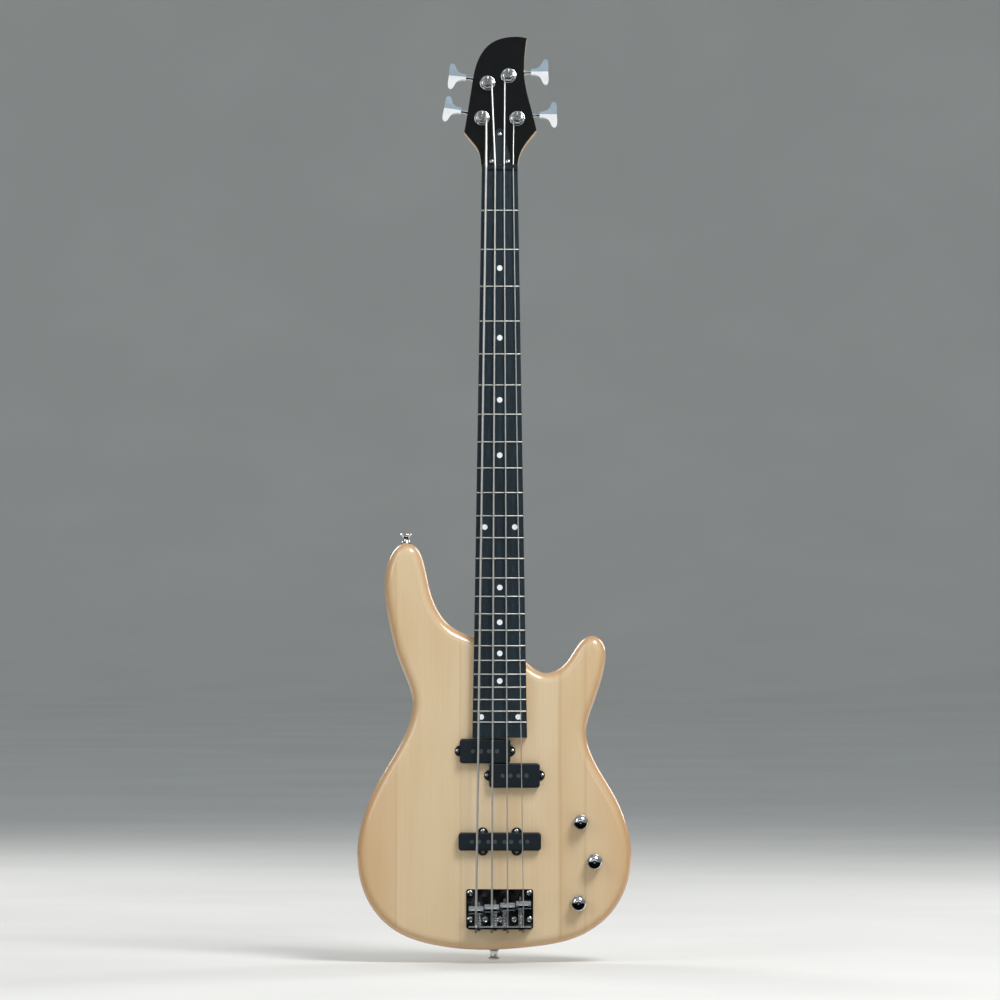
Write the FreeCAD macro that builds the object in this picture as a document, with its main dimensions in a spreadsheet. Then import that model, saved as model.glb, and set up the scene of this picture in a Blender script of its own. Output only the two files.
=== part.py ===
"""Electric bass guitar: bolt-on neck, four strings, one split and one straight pickup.

Everything is drawn lying on its back: x across the strings, y along the neck towards
the headstock, z out of the front. Zero is the centre line at the nut, on the plane of
the body's front. Each finished piece is then stood upright with its front to -Y.
Lengths are millimetres and angles degrees.
"""
import FreeCAD
import Part
import math
import os
import re
from types import SimpleNamespace
from FreeCAD import Placement, Rotation, Vector

SIZES = {
    # Scale and fingerboard
    "scale_length": 863.6,
    "fret_count": 24,
    "nut_width": 42,
    "nut_thickness": 5.5,
    "nut_sink": 2.5,
    "nut_top": 2.6,
    "board_thickness": 6,
    "board_radius": 305,
    "board_end_width": 63.8,
    "board_past_fret": 17.9,
    "fret_width": 2.4,
    "fret_crown": 1.1,
    "tang_width": 0.6,
    "tang_depth": 2,
    "fret_inset": 0.5,
    "dot_radius": 3.25,
    "dot_depth": 1.5,
    "dot_sink": 1.1,
    "dot_pair": 35.2,
    "last_dot_pair": 43.4,
    "side_dot_radius": 1.1,
    "side_dot_depth": 1.6,
    "side_dot_drop": 3.2,
    # Neck
    "neck_stand": 5,
    "neck_depth_nut": 15,
    "neck_depth_heel": 17.5,
    "heel_length": 118,
    "pocket_depth": 18,
    "pocket_gap": 0.15,
    "rod_width": 6,
    "rod_depth": 10,
    "rod_length": 600,
    "rod_nut_radius": 3.6,
    "rod_nut_length": 12,
    "rod_pocket_width": 12,
    "rod_pocket_length": 26,
    "rod_pocket_depth": 11,
    # Headstock
    "head_tilt": 10,
    "head_width": 84.6,
    "head_length": 159,
    "head_thickness": 15,
    "head_root": 9,
    "head_blend": 12,
    "veneer_thickness": 0.8,
    "cover_base_width": 25,
    "cover_length": 42,
    "cover_thickness": 1.8,
    "cover_from_nut": 6.5,
    "cover_screw_side": 9.5,
    "cover_screw_low": 8.9,
    "cover_screw_high": 41.5,
    # Body
    "body_width": 322.3,
    "body_length": 477,
    "body_thickness": 40,
    "tail_past_scale": 51.5,
    "edge_share": 0.036,
    "horn_share": 0.0535,
    "back_share": 0.025,
    "neck_screw_side": 20,
    "neck_screw_low": 15,
    "neck_screw_high": 65,
    "neck_screw_radius": 2.4,
    "neck_screw_head": 4.6,
    "neck_screw_bite": 15,
    "ferrule_radius": 7,
    "ferrule_depth": 4,
    # Tuners
    "washer_radius": 9,
    "washer_height": 1,
    "bush_flats": 12.4,
    "bush_height": 2.2,
    "bush_radius": 5.6,
    "post_radius": 4.4,
    "post_shank": 3.3,
    "post_waist": 3.5,
    "post_waist_height": 10.2,
    "post_cap_radius": 4.75,
    "post_cap_height": 3.8,
    "post_slot_width": 2.9,
    "post_slot_depth": 2.6,
    "running_gap": 0.05,
    "worm_centre": 9,
    "worm_depth": 5,
    "worm_core": 2.5,
    "thread_root": 2.3,
    "thread_crest": 3.45,
    "thread_root_half": 0.5,
    "thread_crest_half": 0.14,
    "worm_length": 11,
    "gear_teeth": 20,
    "gear_root": 5.3,
    "gear_tip": 6.3,
    "gear_face": 3,
    "tooth_root": 0.95,
    "tooth_tip": 0.42,
    "case_left": 9.5,
    "case_right": 10.5,
    "case_low": 9,
    "case_high": 14.5,
    "case_height": 11.5,
    "case_wall": 1.5,
    "case_gap": 0.5,
    "case_round": 2,
    "boss_radius": 4.2,
    "boss_end": 17,
    "lug_radius": 3.6,
    "lug_offset": 11.5,
    "lug_height": 2.5,
    "key_reach": 47.3,
    "key_length": 21,
    "key_spread": 31,
    "key_thickness": 8.4,
    "key_rim": 3.4,
    "key_collar_radius": 3.6,
    "key_collar_length": 3,
    # Strings
    "nut_spread": 31.6,
    "bridge_spread": 55.4,
    "string_low": 2.67,
    "string_second": 2.16,
    "string_third": 1.65,
    "string_high": 1.14,
    "string_over_nut": 1.5,
    "string_over_body": 16,
    "string_bend": 18,
    "saddle_bend": 6,
    "wrap_gap": 0.15,
    "wrap_spacing": 0.5,
    "wrap_lift": 0.5,
    "wrap_lead": 9,
    "ball_radius": 2.1,
    "ball_length": 2.4,
    "ball_back": 0.8,
    # Bridge
    "plate_width": 78.6,
    "plate_length": 46.5,
    "plate_thickness": 2.2,
    "plate_before_scale": 20.3,
    "plate_round": 2.6,
    "flange_height": 18,
    "saddle_radius": 4.2,
    "saddle_length": 17,
    "saddle_groove": 0.8,
    "saddle_back_low": 4.4,
    "saddle_back_step": 2,
    "saddle_play": 2.3,
    "slide_back": 2,
    "groove_gap": 0.2,
    "slide_gap": 0.1,
    "adjuster_offset": 3.6,
    "adjuster_height": 11.2,
    "adjuster_radius": 1.4,
    "adjuster_head": 2.2,
    "adjuster_head_length": 2,
    "adjuster_ahead": 9,
    "spring_radius": 2.1,
    "spring_wire": 0.36,
    "spring_pitch": 1.9,
    "grub_offset": 6.8,
    "grub_radius": 1.2,
    "grub_above": 1.2,
    "string_hole_height": 13.2,
    "string_hole_gap": 0.6,
    "bridge_screw_side": 34.9,
    "bridge_screw_mid": 17,
    "bridge_screw_front": 4.3,
    "bridge_screw_back": 35.4,
    "bridge_screw_head": 3.2,
    "bridge_screw_head_height": 2,
    "bridge_screw_radius": 1.7,
    "bridge_screw_bite": 20,
    # Pickups
    "split_length": 58.5,
    "split_width": 28,
    "split_side": 17.3,
    "split_low_back": 182,
    "split_high_back": 153.4,
    "straight_length": 96,
    "straight_width": 20.5,
    "straight_back": 76,
    "straight_ear_side": 19.8,
    "split_pole_step": 9.4,
    "straight_pole_step": 19,
    "straight_pole_pair": 7.8,
    "pickup_rise": 9.5,
    "pickup_drop": 10,
    "pickup_wall": 1.6,
    "pickup_corner": 3.2,
    "pickup_round": 1.5,
    "pickup_gap": 0.4,
    "pickup_cavity": 20,
    "ear_radius": 6,
    "ear_height": 3,
    "ear_rise": 1,
    "ear_screw_out": 3,
    "straight_screw_out": 2,
    "pole_radius": 2.4,
    "bobbin_flange": 2,
    "bobbin_core": 7,
    "coil_inset": 1,
    "pickup_screw_radius": 1.5,
    "pickup_screw_head": 2.5,
    "pickup_screw_head_height": 1.6,
    "pickup_screw_bite": 8,
    # Controls
    "front_wall": 6,
    "control_reach": 18,
    "cover_lip": 6,
    "cover_plate": 2.2,
    "cover_gap": 0.25,
    "pot_radius": 12,
    "pot_height": 8,
    "pot_neck": 4.6,
    "pot_neck_rise": 4.6,
    "pot_washer": 7,
    "pot_washer_height": 0.8,
    "pot_nut_flats": 10,
    "pot_nut_height": 2.4,
    "shaft_radius": 3,
    "shaft_rise": 14,
    "knob_radius": 9.15,
    "knob_height": 16,
    "knob_lift": 2,
    "knob_dome": 4.5,
    "knob_hollow": 7.8,
    "knob_hollow_depth": 5,
    "small_screw_radius": 1.3,
    "small_screw_head": 2.5,
    "small_screw_head_height": 1.4,
    "small_screw_bite": 9,
    "jack_below_scale": 61.4,
    "jack_depth": 21,
    "jack_plate_radius": 10.5,
    "jack_plate_height": 2,
    "jack_face": 5.4,
    "jack_barrel": 5.5,
    "jack_length": 30.6,
    "jack_nut_flats": 14,
    "jack_nut_height": 2.4,
    "jack_lip": 0.8,
    "plug_radius": 3.25,
    "plug_depth": 30,
    "wire_radius": 1,
    "lead_start": 1.5,
    "channel_radius": 3.2,
    "capacitor_width": 9,
    "capacitor_height": 4,
    # Strap buttons
    "button_length": 10.5,
    "button_radius": 7,
    "felt_radius": 6,
    "felt_height": 1,
    "button_screw_radius": 2.2,
    "button_screw_bite": 26,
    "tail_button_side": 6.8,
    "button_seat": 1.6,
    # Finest step used where a cutter has to pass a face
    "overshoot": 1,
}

# Outline of the body, clockwise from the tip of the upper horn: shares of its width, measured
# from the centre line, and of its length, measured from the tail.
BODY_SHARES = (
    (-0.336, 1.000), (-0.303, 0.990), (-0.280, 0.960), (-0.247, 0.869), (-0.180, 0.798),
    (-0.097, 0.770), (0.012, 0.747), (0.098, 0.707), (0.165, 0.681), (0.230, 0.699),
    (0.282, 0.747), (0.306, 0.765), (0.335, 0.772), (0.364, 0.765), (0.383, 0.744),
    (0.382, 0.700), (0.342, 0.608), (0.315, 0.535), (0.340, 0.472), (0.415, 0.384),
    (0.471, 0.283), (0.473, 0.187), (0.404, 0.089), (0.277, 0.030), (0.124, 0.008),
    (-0.028, 0.000), (-0.232, 0.011), (-0.388, 0.050), (-0.487, 0.129), (-0.519, 0.227),
    (-0.497, 0.325), (-0.417, 0.443), (-0.338, 0.541), (-0.318, 0.614), (-0.359, 0.699),
    (-0.406, 0.817), (-0.419, 0.902), (-0.402, 0.961), (-0.372, 0.992),
)
# Four sides of the headstock: shares of its width from the centre line and of its length from the nut.
HEAD_LEFT_SHARES = (
    (-0.492, 0.284), (-0.468, 0.356), (-0.389, 0.621), (-0.306, 0.817), (-0.129, 0.949),
    (0.145, 1.000), (0.376, 0.991),
)
HEAD_RIGHT_SHARES = (
    (0.376, 0.991), (0.344, 0.855), (0.337, 0.772), (0.344, 0.681), (0.385, 0.560), (0.508, 0.296),
)
FLARE_RIGHT_SHARES = ((0.508, 0.296), (0.392, 0.220), (0.309, 0.152), (0.262, 0.084))
FLARE_LEFT_SHARES = ((-0.262, 0.060), (-0.292, 0.138), (-0.376, 0.206), (-0.492, 0.284))
# Posts of the tuners as shares of the headstock, with the side their keys point to.
POST_SHARES = {"e": (-0.245, 0.387), "a": (-0.168, 0.651), "d": (0.124, 0.706), "g": (0.243, 0.383)}
KEY_SIDES = {"e": -1, "a": -1, "d": 1, "g": 1}
# Turn of each tuner about its post, so that the bass keys lean up with the edge of the headstock.
TUNER_TURNS = {"e": -9, "a": -5, "d": 0, "g": 0}
# Key button: shares of its length from the neck outwards and of its spread.
KEY_SHARES = (
    (0.00, 0.11), (0.28, 0.125), (0.50, 0.22), (0.63, 0.38), (0.74, 0.48), (0.88, 0.48), (0.955, 0.36),
    (0.96, 0.00), (0.975, -0.36), (0.90, -0.48), (0.75, -0.48), (0.63, -0.38), (0.50, -0.22),
    (0.28, -0.125), (0.00, -0.11),
)
# Cover over the truss rod: shares of half its base and of its length.
COVER_SHARES = ((1.00, 0.12), (0.84, 0.35), (0.56, 0.62), (0.46, 0.85), (0.30, 0.96))
# Knobs: shares of the body's width from the centre line and of its length from the tail.
KNOB_SHARES = {"neck_volume": (0.294, 0.315), "bridge_volume": (0.344, 0.218), "tone": (0.286, 0.117)}
# Strap button: shares of its radius and of its length, from the felt outwards.
BUTTON_SHARES = ((0.743, 0.0), (0.571, 0.35), (0.629, 0.60), (1.0, 0.86), (0.90, 0.96), (0.571, 1.0))
# Frets that carry a single dot.
DOT_FRETS = (3, 5, 7, 9, 15, 17, 19, 21)
WRAP_TURNS = {"e": 1.75, "a": 2.25, "d": 2.75, "g": 3.25}
NECK_SQUARENESS_SHARE = 2.3
HEEL_SQUARENESS_SHARE = 7
OCTAVE = 12

doc = FreeCAD.newDocument("bass_guitar")
sheet = doc.addObject("Spreadsheet::Sheet", "sizes")
for row, (alias, value) in enumerate(SIZES.items(), start=1):
    sheet.set("A%d" % row, alias)
    sheet.set("B%d" % row, str(value))
    sheet.setAlias("B%d" % row, alias)
doc.recompute()
s = SimpleNamespace(**{alias: float(sheet.get(alias)) for alias in SIZES})
ALIAS = re.compile(r"\b(" + "|".join(SIZES) + r")\b")
X_AXIS = Vector(1, 0, 0)
Y_AXIS = Vector(0, 1, 0)
Z_AXIS = Vector(0, 0, 1)
ALONG = {
    "z": Rotation(),
    "x": Rotation(Vector(0, 0, 1), Vector(1, 0, 0)),
    "y": Rotation(Vector(0, 0, 1), Vector(0, 1, 0)),
}
STAND = Placement(Vector(), Rotation(X_AXIS, 90))
NODES = {}


def bind(piece, path, value):
    """Ties one property to a formula over the sheet, or sets it where the value is already worked out."""
    if isinstance(value, str):
        piece.setExpression(path, ALIAS.sub(r"sizes.\1", value))
    else:
        piece.setExpression(path, repr(float(value)))


def place(piece, at, turn=None):
    """Puts a piece at a point given as three formulas or numbers, turned by a rotation."""
    piece.Placement = Placement(Vector(), turn or Rotation())
    for axis, value in zip("xyz", at):
        bind(piece, "Placement.Base." + axis, value)
    return piece


def block(at, wide, long, tall):
    """Box centred on a point in x and y, standing on it in z."""
    piece = doc.addObject("Part::Box", "block")
    bind(piece, "Length", wide)
    bind(piece, "Width", long)
    bind(piece, "Height", tall)
    corner = ("(%s) - (%s) / 2" % (at[0], wide), "(%s) - (%s) / 2" % (at[1], long), at[2])
    return place(piece, corner)


def rod(at, radius, length, along="z"):
    """Cylinder from a point along one axis."""
    piece = doc.addObject("Part::Cylinder", "rod")
    bind(piece, "Radius", radius)
    bind(piece, "Height", length)
    return place(piece, at, ALONG[along])


def taper(at, low_radius, high_radius, length, along="z"):
    """Cone from a point along one axis."""
    piece = doc.addObject("Part::Cone", "taper")
    bind(piece, "Radius1", low_radius)
    bind(piece, "Radius2", high_radius)
    bind(piece, "Height", length)
    return place(piece, at, ALONG[along])


def hexagon(at, flats, length, along="z"):
    """Six-sided prism from a point along one axis, given across its flats."""
    piece = doc.addObject("Part::Prism", "hexagon")
    piece.Polygon = 6
    bind(piece, "Circumradius", "(%s) / sqrt(3)" % flats)
    bind(piece, "Height", length)
    return place(piece, at, ALONG[along])


def wedge(low_y, high_y, low_half, high_half, low_z, high_z):
    """Plate along y whose half width changes evenly from one end to the other."""
    piece = doc.addObject("Part::Wedge", "wedge")
    bind(piece, "Ymin", low_y)
    bind(piece, "Ymax", high_y)
    bind(piece, "Xmin", "-(%s)" % low_half)
    bind(piece, "Xmax", low_half)
    bind(piece, "X2min", "-(%s)" % high_half)
    bind(piece, "X2max", high_half)
    for name in ("Zmin", "Z2min"):
        bind(piece, name, low_z)
    for name in ("Zmax", "Z2max"):
        bind(piece, name, high_z)
    return piece


def cut(base, *tools):
    """Base with every tool taken away, one after the other; a tool may be a group of separate solids."""
    for tool in tools:
        piece = doc.addObject("Part::Cut", "cut")
        piece.Base = base
        piece.Tool = tool
        base = piece
    return base


def gather(*pieces):
    """Several pieces joined into one."""
    piece = doc.addObject("Part::MultiFuse", "gather")
    piece.Shapes = list(pieces)
    return piece


def common(first, second):
    """What two pieces share."""
    piece = doc.addObject("Part::MultiCommon", "common")
    piece.Shapes = [first, second]
    return piece


def group(pieces, placement=None):
    """Separate solids kept side by side, moved together."""
    piece = doc.addObject("Part::Compound", "group")
    piece.Links = list(pieces)
    piece.Placement = placement or Placement()
    return piece


def mirrored(source):
    """The left-hand twin of a piece."""
    piece = doc.addObject("Part::Mirroring", "mirrored")
    piece.Source = source
    piece.Normal = X_AXIS
    return piece


def shaped(shape):
    """A piece whose shape is worked out point by point."""
    piece = doc.addObject("Part::Feature", "shaped")
    piece.Shape = shape
    return piece


def rounded(source, radius, wanted):
    """Fillets the edges of a piece that a test picks."""
    doc.recompute()
    piece = doc.addObject("Part::Fillet", "rounded")
    piece.Base = source
    edges = source.Shape.Edges
    piece.Edges = [(index, radius, radius) for index, edge in enumerate(edges, start=1) if wanted(edge)]
    return piece


def upright(edge):
    """True for a straight edge along z."""
    box = edge.BoundBox
    return box.XLength < s.running_gap and box.YLength < s.running_gap


def node(label, pieces, placement=None):
    """One finished sub-part: its solids, stood upright, under the name of its file."""
    piece = doc.addObject("Part::Compound", label)
    piece.Links = list(pieces)
    piece.Label = label
    piece.Placement = STAND.multiply(placement or Placement())
    NODES[label] = piece
    return piece


def spline(points, closed=False):
    """Smooth curve through points."""
    curve = Part.BSplineCurve()
    curve.interpolate(Points=[Vector(*point) for point in points], PeriodicFlag=closed)
    return curve


def padded(name, curves, length, reverse=False):
    """Body with a sketch of the given curves on the ground plane, padded by a formula."""
    body = doc.addObject("PartDesign::Body", name)
    sketch = body.newObject("Sketcher::SketchObject", name + "_sketch")
    plane = next(item for item in body.Origin.OriginFeatures if item.Role == "XY_Plane")
    sketch.AttachmentSupport = [(plane, "")]
    sketch.MapMode = "FlatFace"
    for curve in curves:
        sketch.addGeometry(curve, False)
    pad = body.newObject("PartDesign::Pad", name + "_pad")
    pad.Profile = sketch
    pad.Reversed = reverse
    bind(pad, "Length", length)
    doc.recompute()
    return body, pad


def softened(body, pad, name, radius, wanted):
    """Adds a fillet to the picked edges of a pad inside its body."""
    fillet = body.newObject("PartDesign::Fillet", name)
    edges = pad.Shape.Edges
    fillet.Base = (pad, ["Edge%d" % index for index, edge in enumerate(edges, start=1) if wanted(edge)])
    bind(fillet, "Radius", radius)
    doc.recompute()
    return fillet


def corner_arc(before, corner, after, radius):
    """Start, middle and end of the arc that rounds a corner between two points."""
    arriving = (corner - before).normalize()
    leaving = (after - corner).normalize()
    half = arriving.getAngle(leaving) / 2
    inward = (leaving - arriving).normalize()
    start = corner - arriving * (radius * math.tan(half))
    end = corner + leaving * (radius * math.tan(half))
    return start, corner + inward * (radius / math.cos(half) - radius), end


def rounded_path(points, radii):
    """Straight edges joined by tangent arcs: one radius for each corner between the ends."""
    edges = []
    here = points[0]
    for index, radius in enumerate(radii, start=1):
        start, middle, end = corner_arc(here, points[index], points[index + 1], radius)
        edges.append(Part.makeLine(here, start))
        edges.append(Part.Arc(start, middle, end).toShape())
        here = end
    edges.append(Part.makeLine(here, points[-1]))
    return edges


def arc_middle(start, tangent, end):
    """Middle of the arc that leaves a point along a tangent and reaches another point."""
    chord = end - start
    along = Vector(chord).normalize()
    side = (tangent - along * tangent.dot(along)).normalize()
    return (start + end) * 0.5 + side * (chord.Length / 2 * math.tan(tangent.getAngle(along) / 2))


def biarc(start, leaving, end, arriving):
    """Two arcs that join two points with their tangents."""
    chord = end - start
    bend = 2 * (1 - leaving.dot(arriving))
    run = chord.dot(leaving + arriving)
    reach = (math.sqrt(run * run + bend * chord.dot(chord)) - run) / bend
    meeting = (start + end + (leaving - arriving) * reach) * 0.5
    first = Part.Arc(start, arc_middle(start, leaving, meeting), meeting)
    second = Part.Arc(meeting, arc_middle(end, arriving * -1, meeting), end)
    return [first.toShape(), second.toShape()]


def winding(radius, pitch, turns, start_angle, hand, placement):
    """Quarter turns of a winding round the z axis of a placement, as pairs of arcs."""
    quarters = int(round(turns * 4))

    def spot(step):
        angle = start_angle + hand * step * math.pi / 2
        return placement.multVec(Vector(radius * math.cos(angle), radius * math.sin(angle), pitch * step / 4))

    def heading(step):
        angle = start_angle + hand * step * math.pi / 2
        flat = Vector(-math.sin(angle), math.cos(angle), 0) * hand
        return placement.Rotation.multVec((flat * radius + Z_AXIS * (pitch / (2 * math.pi))).normalize())

    edges = []
    for step in range(quarters):
        edges += biarc(spot(step), heading(step), spot(step + 1), heading(step + 1))
    return edges


def tube(edges, radius):
    """Round bar along joined edges, compared with its section times its length."""
    first = edges[0]
    start = first.valueAt(first.FirstParameter)
    ring = Part.Circle(start, first.tangentAt(first.FirstParameter), radius).toShape()
    path = Part.Wire(edges)
    shell = Part.BRepOffsetAPI.MakePipeShell(path)
    shell.add(Part.Wire([ring]))
    shell.build()
    shell.makeSolid()
    solid = shell.shape()
    expected = math.pi * radius * radius * path.Length
    if abs(solid.Volume - expected) > expected / 100:
        raise ValueError("tube volume %.3f against %.3f" % (solid.Volume, expected))
    return solid


def least_gap(edges, radius, reach):
    """Least gap of a wound bar to itself, over points further apart along it than a reach."""
    spots = []
    travelled = 0
    for edge in edges:
        for point in edge.discretize(9)[:-1]:
            if spots:
                travelled += (point - spots[-1][1]).Length
            spots.append((travelled, point))
    gaps = [
        (other - point).Length - 2 * radius
        for index, (run, point) in enumerate(spots)
        for other_run, other in spots[index + 1:]
        if other_run - run > reach
    ]
    return min(gaps)


def fret_line(number):
    """Distance of a fret from the nut, towards the tail."""
    return s.scale_length * (1 - 2 ** (-number / OCTAVE))


def board_width(distance):
    """Width of the fingerboard at a distance from the nut."""
    return s.nut_width + (s.board_end_width - s.nut_width) * distance / board_length


board_length = fret_line(s.fret_count) + s.board_past_fret
board_top = s.neck_stand + s.board_thickness
head_frame = Placement(Vector(0, 0, s.neck_stand), Rotation(X_AXIS, -s.head_tilt))
tail_line = -(s.scale_length + s.tail_past_scale)
STRING_ORDER = ("e", "a", "d", "g")
STRING_RADII = {
    "e": s.string_low / 2,
    "a": s.string_second / 2,
    "d": s.string_third / 2,
    "g": s.string_high / 2,
}
# Places of the four strings from the bass side to the treble side, as shares of their spread.
STRING_SHARES = {"e": -0.5, "a": -1 / 6, "d": 1 / 6, "g": 0.5}
INWARD = {"e": 1, "a": 1, "d": -1, "g": -1}
POSTS = {
    name: Vector(across * s.head_width, along * s.head_length, 0)
    for name, (across, along) in POST_SHARES.items()
}

# Strings: straight from the bridge to the nut, bent over the saddle and the nut, then wound on the posts
plate_front = -(s.scale_length - s.plate_before_scale)
plate_back = plate_front - s.plate_length
bush_top = s.washer_height + s.bush_height
crests = {}
string_edges = {}
string_pieces = {}
for index, name in enumerate(STRING_ORDER):
    radius = STRING_RADII[name]
    crests[name] = -(s.scale_length + s.saddle_back_low - s.saddle_back_step * index)
    bridge_x = STRING_SHARES[name] * s.bridge_spread
    nut_x = STRING_SHARES[name] * s.nut_spread
    anchor = Vector(bridge_x, plate_back - s.ball_back, s.string_hole_height)
    nut_point = Vector(nut_x, s.nut_thickness / 2, board_top + s.string_over_nut + radius)
    saddle_point = Vector(bridge_x, crests[name] - s.saddle_play, s.string_over_body + radius)
    wrap = s.post_waist + s.wrap_gap + radius
    pitch = 2 * radius + s.wrap_spacing
    from_nut = head_frame.inverse().multVec(nut_point)
    to_post = POSTS[name] - from_nut
    far = math.hypot(to_post.x, to_post.y)
    hand = INWARD[name]
    bearing = math.atan2(to_post.y, to_post.x) - hand * math.asin(wrap / far)
    climb = pitch / (2 * math.pi * wrap)
    entry_height = bush_top + s.wrap_lift + radius + climb * s.wrap_lead
    entry_angle = bearing - hand * math.pi / 2
    touch = POSTS[name] + Vector(wrap * math.cos(entry_angle), wrap * math.sin(entry_angle), entry_height)
    lead = Vector(math.cos(bearing), math.sin(bearing), climb).normalize() * s.wrap_lead
    run = rounded_path(
        [anchor, saddle_point, nut_point, head_frame.multVec(touch - lead), head_frame.multVec(touch)],
        [s.saddle_bend, s.string_bend, s.string_bend],
    )
    post_frame = head_frame.multiply(Placement(POSTS[name] + Z_AXIS * entry_height, Rotation()))
    coil = winding(wrap, pitch, WRAP_TURNS[name], entry_angle, hand, post_frame)
    print("string %s: least gap in its winding %.2f mm" % (name, least_gap(coil, radius, 3 * wrap)))
    string_edges[name] = run + coil
    string_pieces[name] = shaped(tube(string_edges[name], radius))
    ball = rod(
        (STRING_SHARES[name] * s.bridge_spread - s.ball_length / 2, plate_back - s.ball_radius,
         s.string_hole_height),
        "ball_radius", "ball_length", "x")
    node("string_" + name, [string_pieces[name], cut(ball, string_pieces[name])])

# Fingerboard with its curved top, and what is set into it
board_blank = wedge(
    -board_length, 0, "board_end_width / 2", "nut_width / 2", "neck_stand", "neck_stand + board_thickness")
crown_axis = "neck_stand + board_thickness - board_radius"
crown = rod((0, -board_length, crown_axis), "board_radius", board_length, "y")
board_curved = common(board_blank, crown)
fret_solids = []
slot_solids = []
crown_centre = Vector(0, 0, board_top - s.board_radius)
for number in range(1, int(s.fret_count) + 1):
    line = -fret_line(number)
    half_width = board_width(-line) / 2 - s.fret_inset
    sweep = math.degrees(math.asin(half_width / s.board_radius))
    full = math.degrees(math.asin((half_width + s.fret_inset + s.overshoot) / s.board_radius))
    half = s.fret_width / 2
    tang = s.tang_width / 2
    foot = board_top - s.tang_depth
    outline = [
        Part.Arc(
            Vector(0, line - half, board_top),
            Vector(0, line, board_top + s.fret_crown),
            Vector(0, line + half, board_top),
        ).toShape(),
        Part.makePolygon([
            Vector(0, line + half, board_top),
            Vector(0, line + tang, board_top),
            Vector(0, line + tang, foot),
            Vector(0, line - tang, foot),
            Vector(0, line - tang, board_top),
            Vector(0, line - half, board_top),
        ]),
    ]
    section = Part.Face(Part.Wire([outline[0]] + outline[1].Edges))
    section.rotate(crown_centre, Y_AXIS, -sweep)
    fret_solids.append(section.revolve(crown_centre, Y_AXIS, 2 * sweep))
    slot = Part.Face(Part.makePolygon([
        Vector(0, line + tang, board_top + s.overshoot),
        Vector(0, line + tang, foot),
        Vector(0, line - tang, foot),
        Vector(0, line - tang, board_top + s.overshoot),
        Vector(0, line + tang, board_top + s.overshoot),
    ]))
    slot.rotate(crown_centre, Y_AXIS, -full)
    slot_solids.append(slot.revolve(crown_centre, Y_AXIS, 2 * full))
fret_slots = shaped(Part.makeCompound(slot_solids))
node("frets", [shaped(solid) for solid in fret_solids])
dot_spots = []
for number in DOT_FRETS:
    dot_spots.append((0, number))
for number, spread in ((OCTAVE, s.dot_pair), (2 * OCTAVE, s.last_dot_pair)):
    dot_spots.append((-spread / 2, number))
    dot_spots.append((spread / 2, number))
dots = []
dot_holes = []
for across, number in dot_spots:
    middle = -(fret_line(number) + fret_line(number - 1)) / 2
    hole = rod((across, middle, "neck_stand + board_thickness - dot_depth - dot_sink"),
               "dot_radius", "dot_depth + 2 * overshoot + dot_sink")
    dot_holes.append(hole)
    dots.append(common(hole, crown))
for number in DOT_FRETS + (OCTAVE, 2 * OCTAVE):
    middle = -(fret_line(number) + fret_line(number - 1)) / 2
    side = -board_width(-middle) / 2
    hole = rod((side - s.overshoot, middle, "neck_stand + board_thickness - side_dot_drop"),
               "side_dot_radius", "side_dot_depth + overshoot", "x")
    dot_holes.append(hole)
    dots.append(common(hole, board_blank))
node("position_dots", dots)
node("fingerboard", [cut(board_curved, fret_slots, group(dot_holes))])

# Nut, slotted by the strings that lie in it
nut_block = block(
    (0, "nut_thickness / 2", "neck_stand - nut_sink"),
    "nut_width", "nut_thickness", "nut_sink + board_thickness + nut_top")
node("nut", [cut(nut_block, *[string_pieces[name] for name in STRING_ORDER])])


# Neck: rounded shaft, square heel and tilted headstock in one piece of wood
def neck_section(distance, depth, squareness):
    """Closed section of the neck: flat against the board, rounded behind."""
    half = board_width(distance) / 2
    points = []
    for step in range(13):
        angle = math.pi * step / 12
        across = math.copysign(abs(math.cos(angle)) ** (2 / squareness), math.cos(angle))
        points.append((half * across, -distance, s.neck_stand - depth * math.sin(angle) ** (2 / squareness)))
    points[0] = (half, -distance, s.neck_stand)
    points[-1] = (-half, -distance, s.neck_stand)
    back = spline(points).toShape()
    flat = Part.makeLine(Vector(*points[-1]), Vector(*points[0]))
    return shaped(Part.Wire([back, flat]))


heel_start = board_length - s.heel_length
heel_bottom = s.pocket_depth + s.neck_stand
shaft_end = heel_start - s.heel_length / 4
neck_pieces = []
for stations in (
    ((0, s.neck_depth_nut, NECK_SQUARENESS_SHARE),
     (shaft_end, s.neck_depth_heel, NECK_SQUARENESS_SHARE)),
    ((shaft_end, s.neck_depth_heel, NECK_SQUARENESS_SHARE),
     (heel_start + s.overshoot, heel_bottom, HEEL_SQUARENESS_SHARE)),
):
    loft = doc.addObject("Part::Loft", "shaft")
    loft.Sections = [neck_section(*station) for station in stations]
    loft.Solid = True
    neck_pieces.append(loft)
heel_half = board_width(heel_start) / 2
neck_pieces.append(wedge(-board_length, -heel_start, "board_end_width / 2", heel_half,
                         "-pocket_depth", "neck_stand"))


def head_points(shares):
    """Points of the headstock's outline from shares of its width and length."""
    return [(across * s.head_width, along * s.head_length, 0) for across, along in shares]


def head_outline():
    """Closed outline of the headstock on its own face, from below the nut to the tip."""
    half = s.nut_width / 2
    right = head_points(FLARE_RIGHT_SHARES) + [(half, 0, 0)]
    left = [(-half, 0, 0)] + head_points(FLARE_LEFT_SHARES)
    low_right = Vector(half, -s.head_root, 0)
    low_left = Vector(-half, -s.head_root, 0)
    return [
        spline(head_points(HEAD_LEFT_SHARES)),
        spline(head_points(HEAD_RIGHT_SHARES)),
        spline(right),
        Part.LineSegment(Vector(*right[-1]), low_right),
        Part.LineSegment(low_right, low_left),
        Part.LineSegment(low_left, Vector(*left[0])),
        spline(left),
    ]


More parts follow.
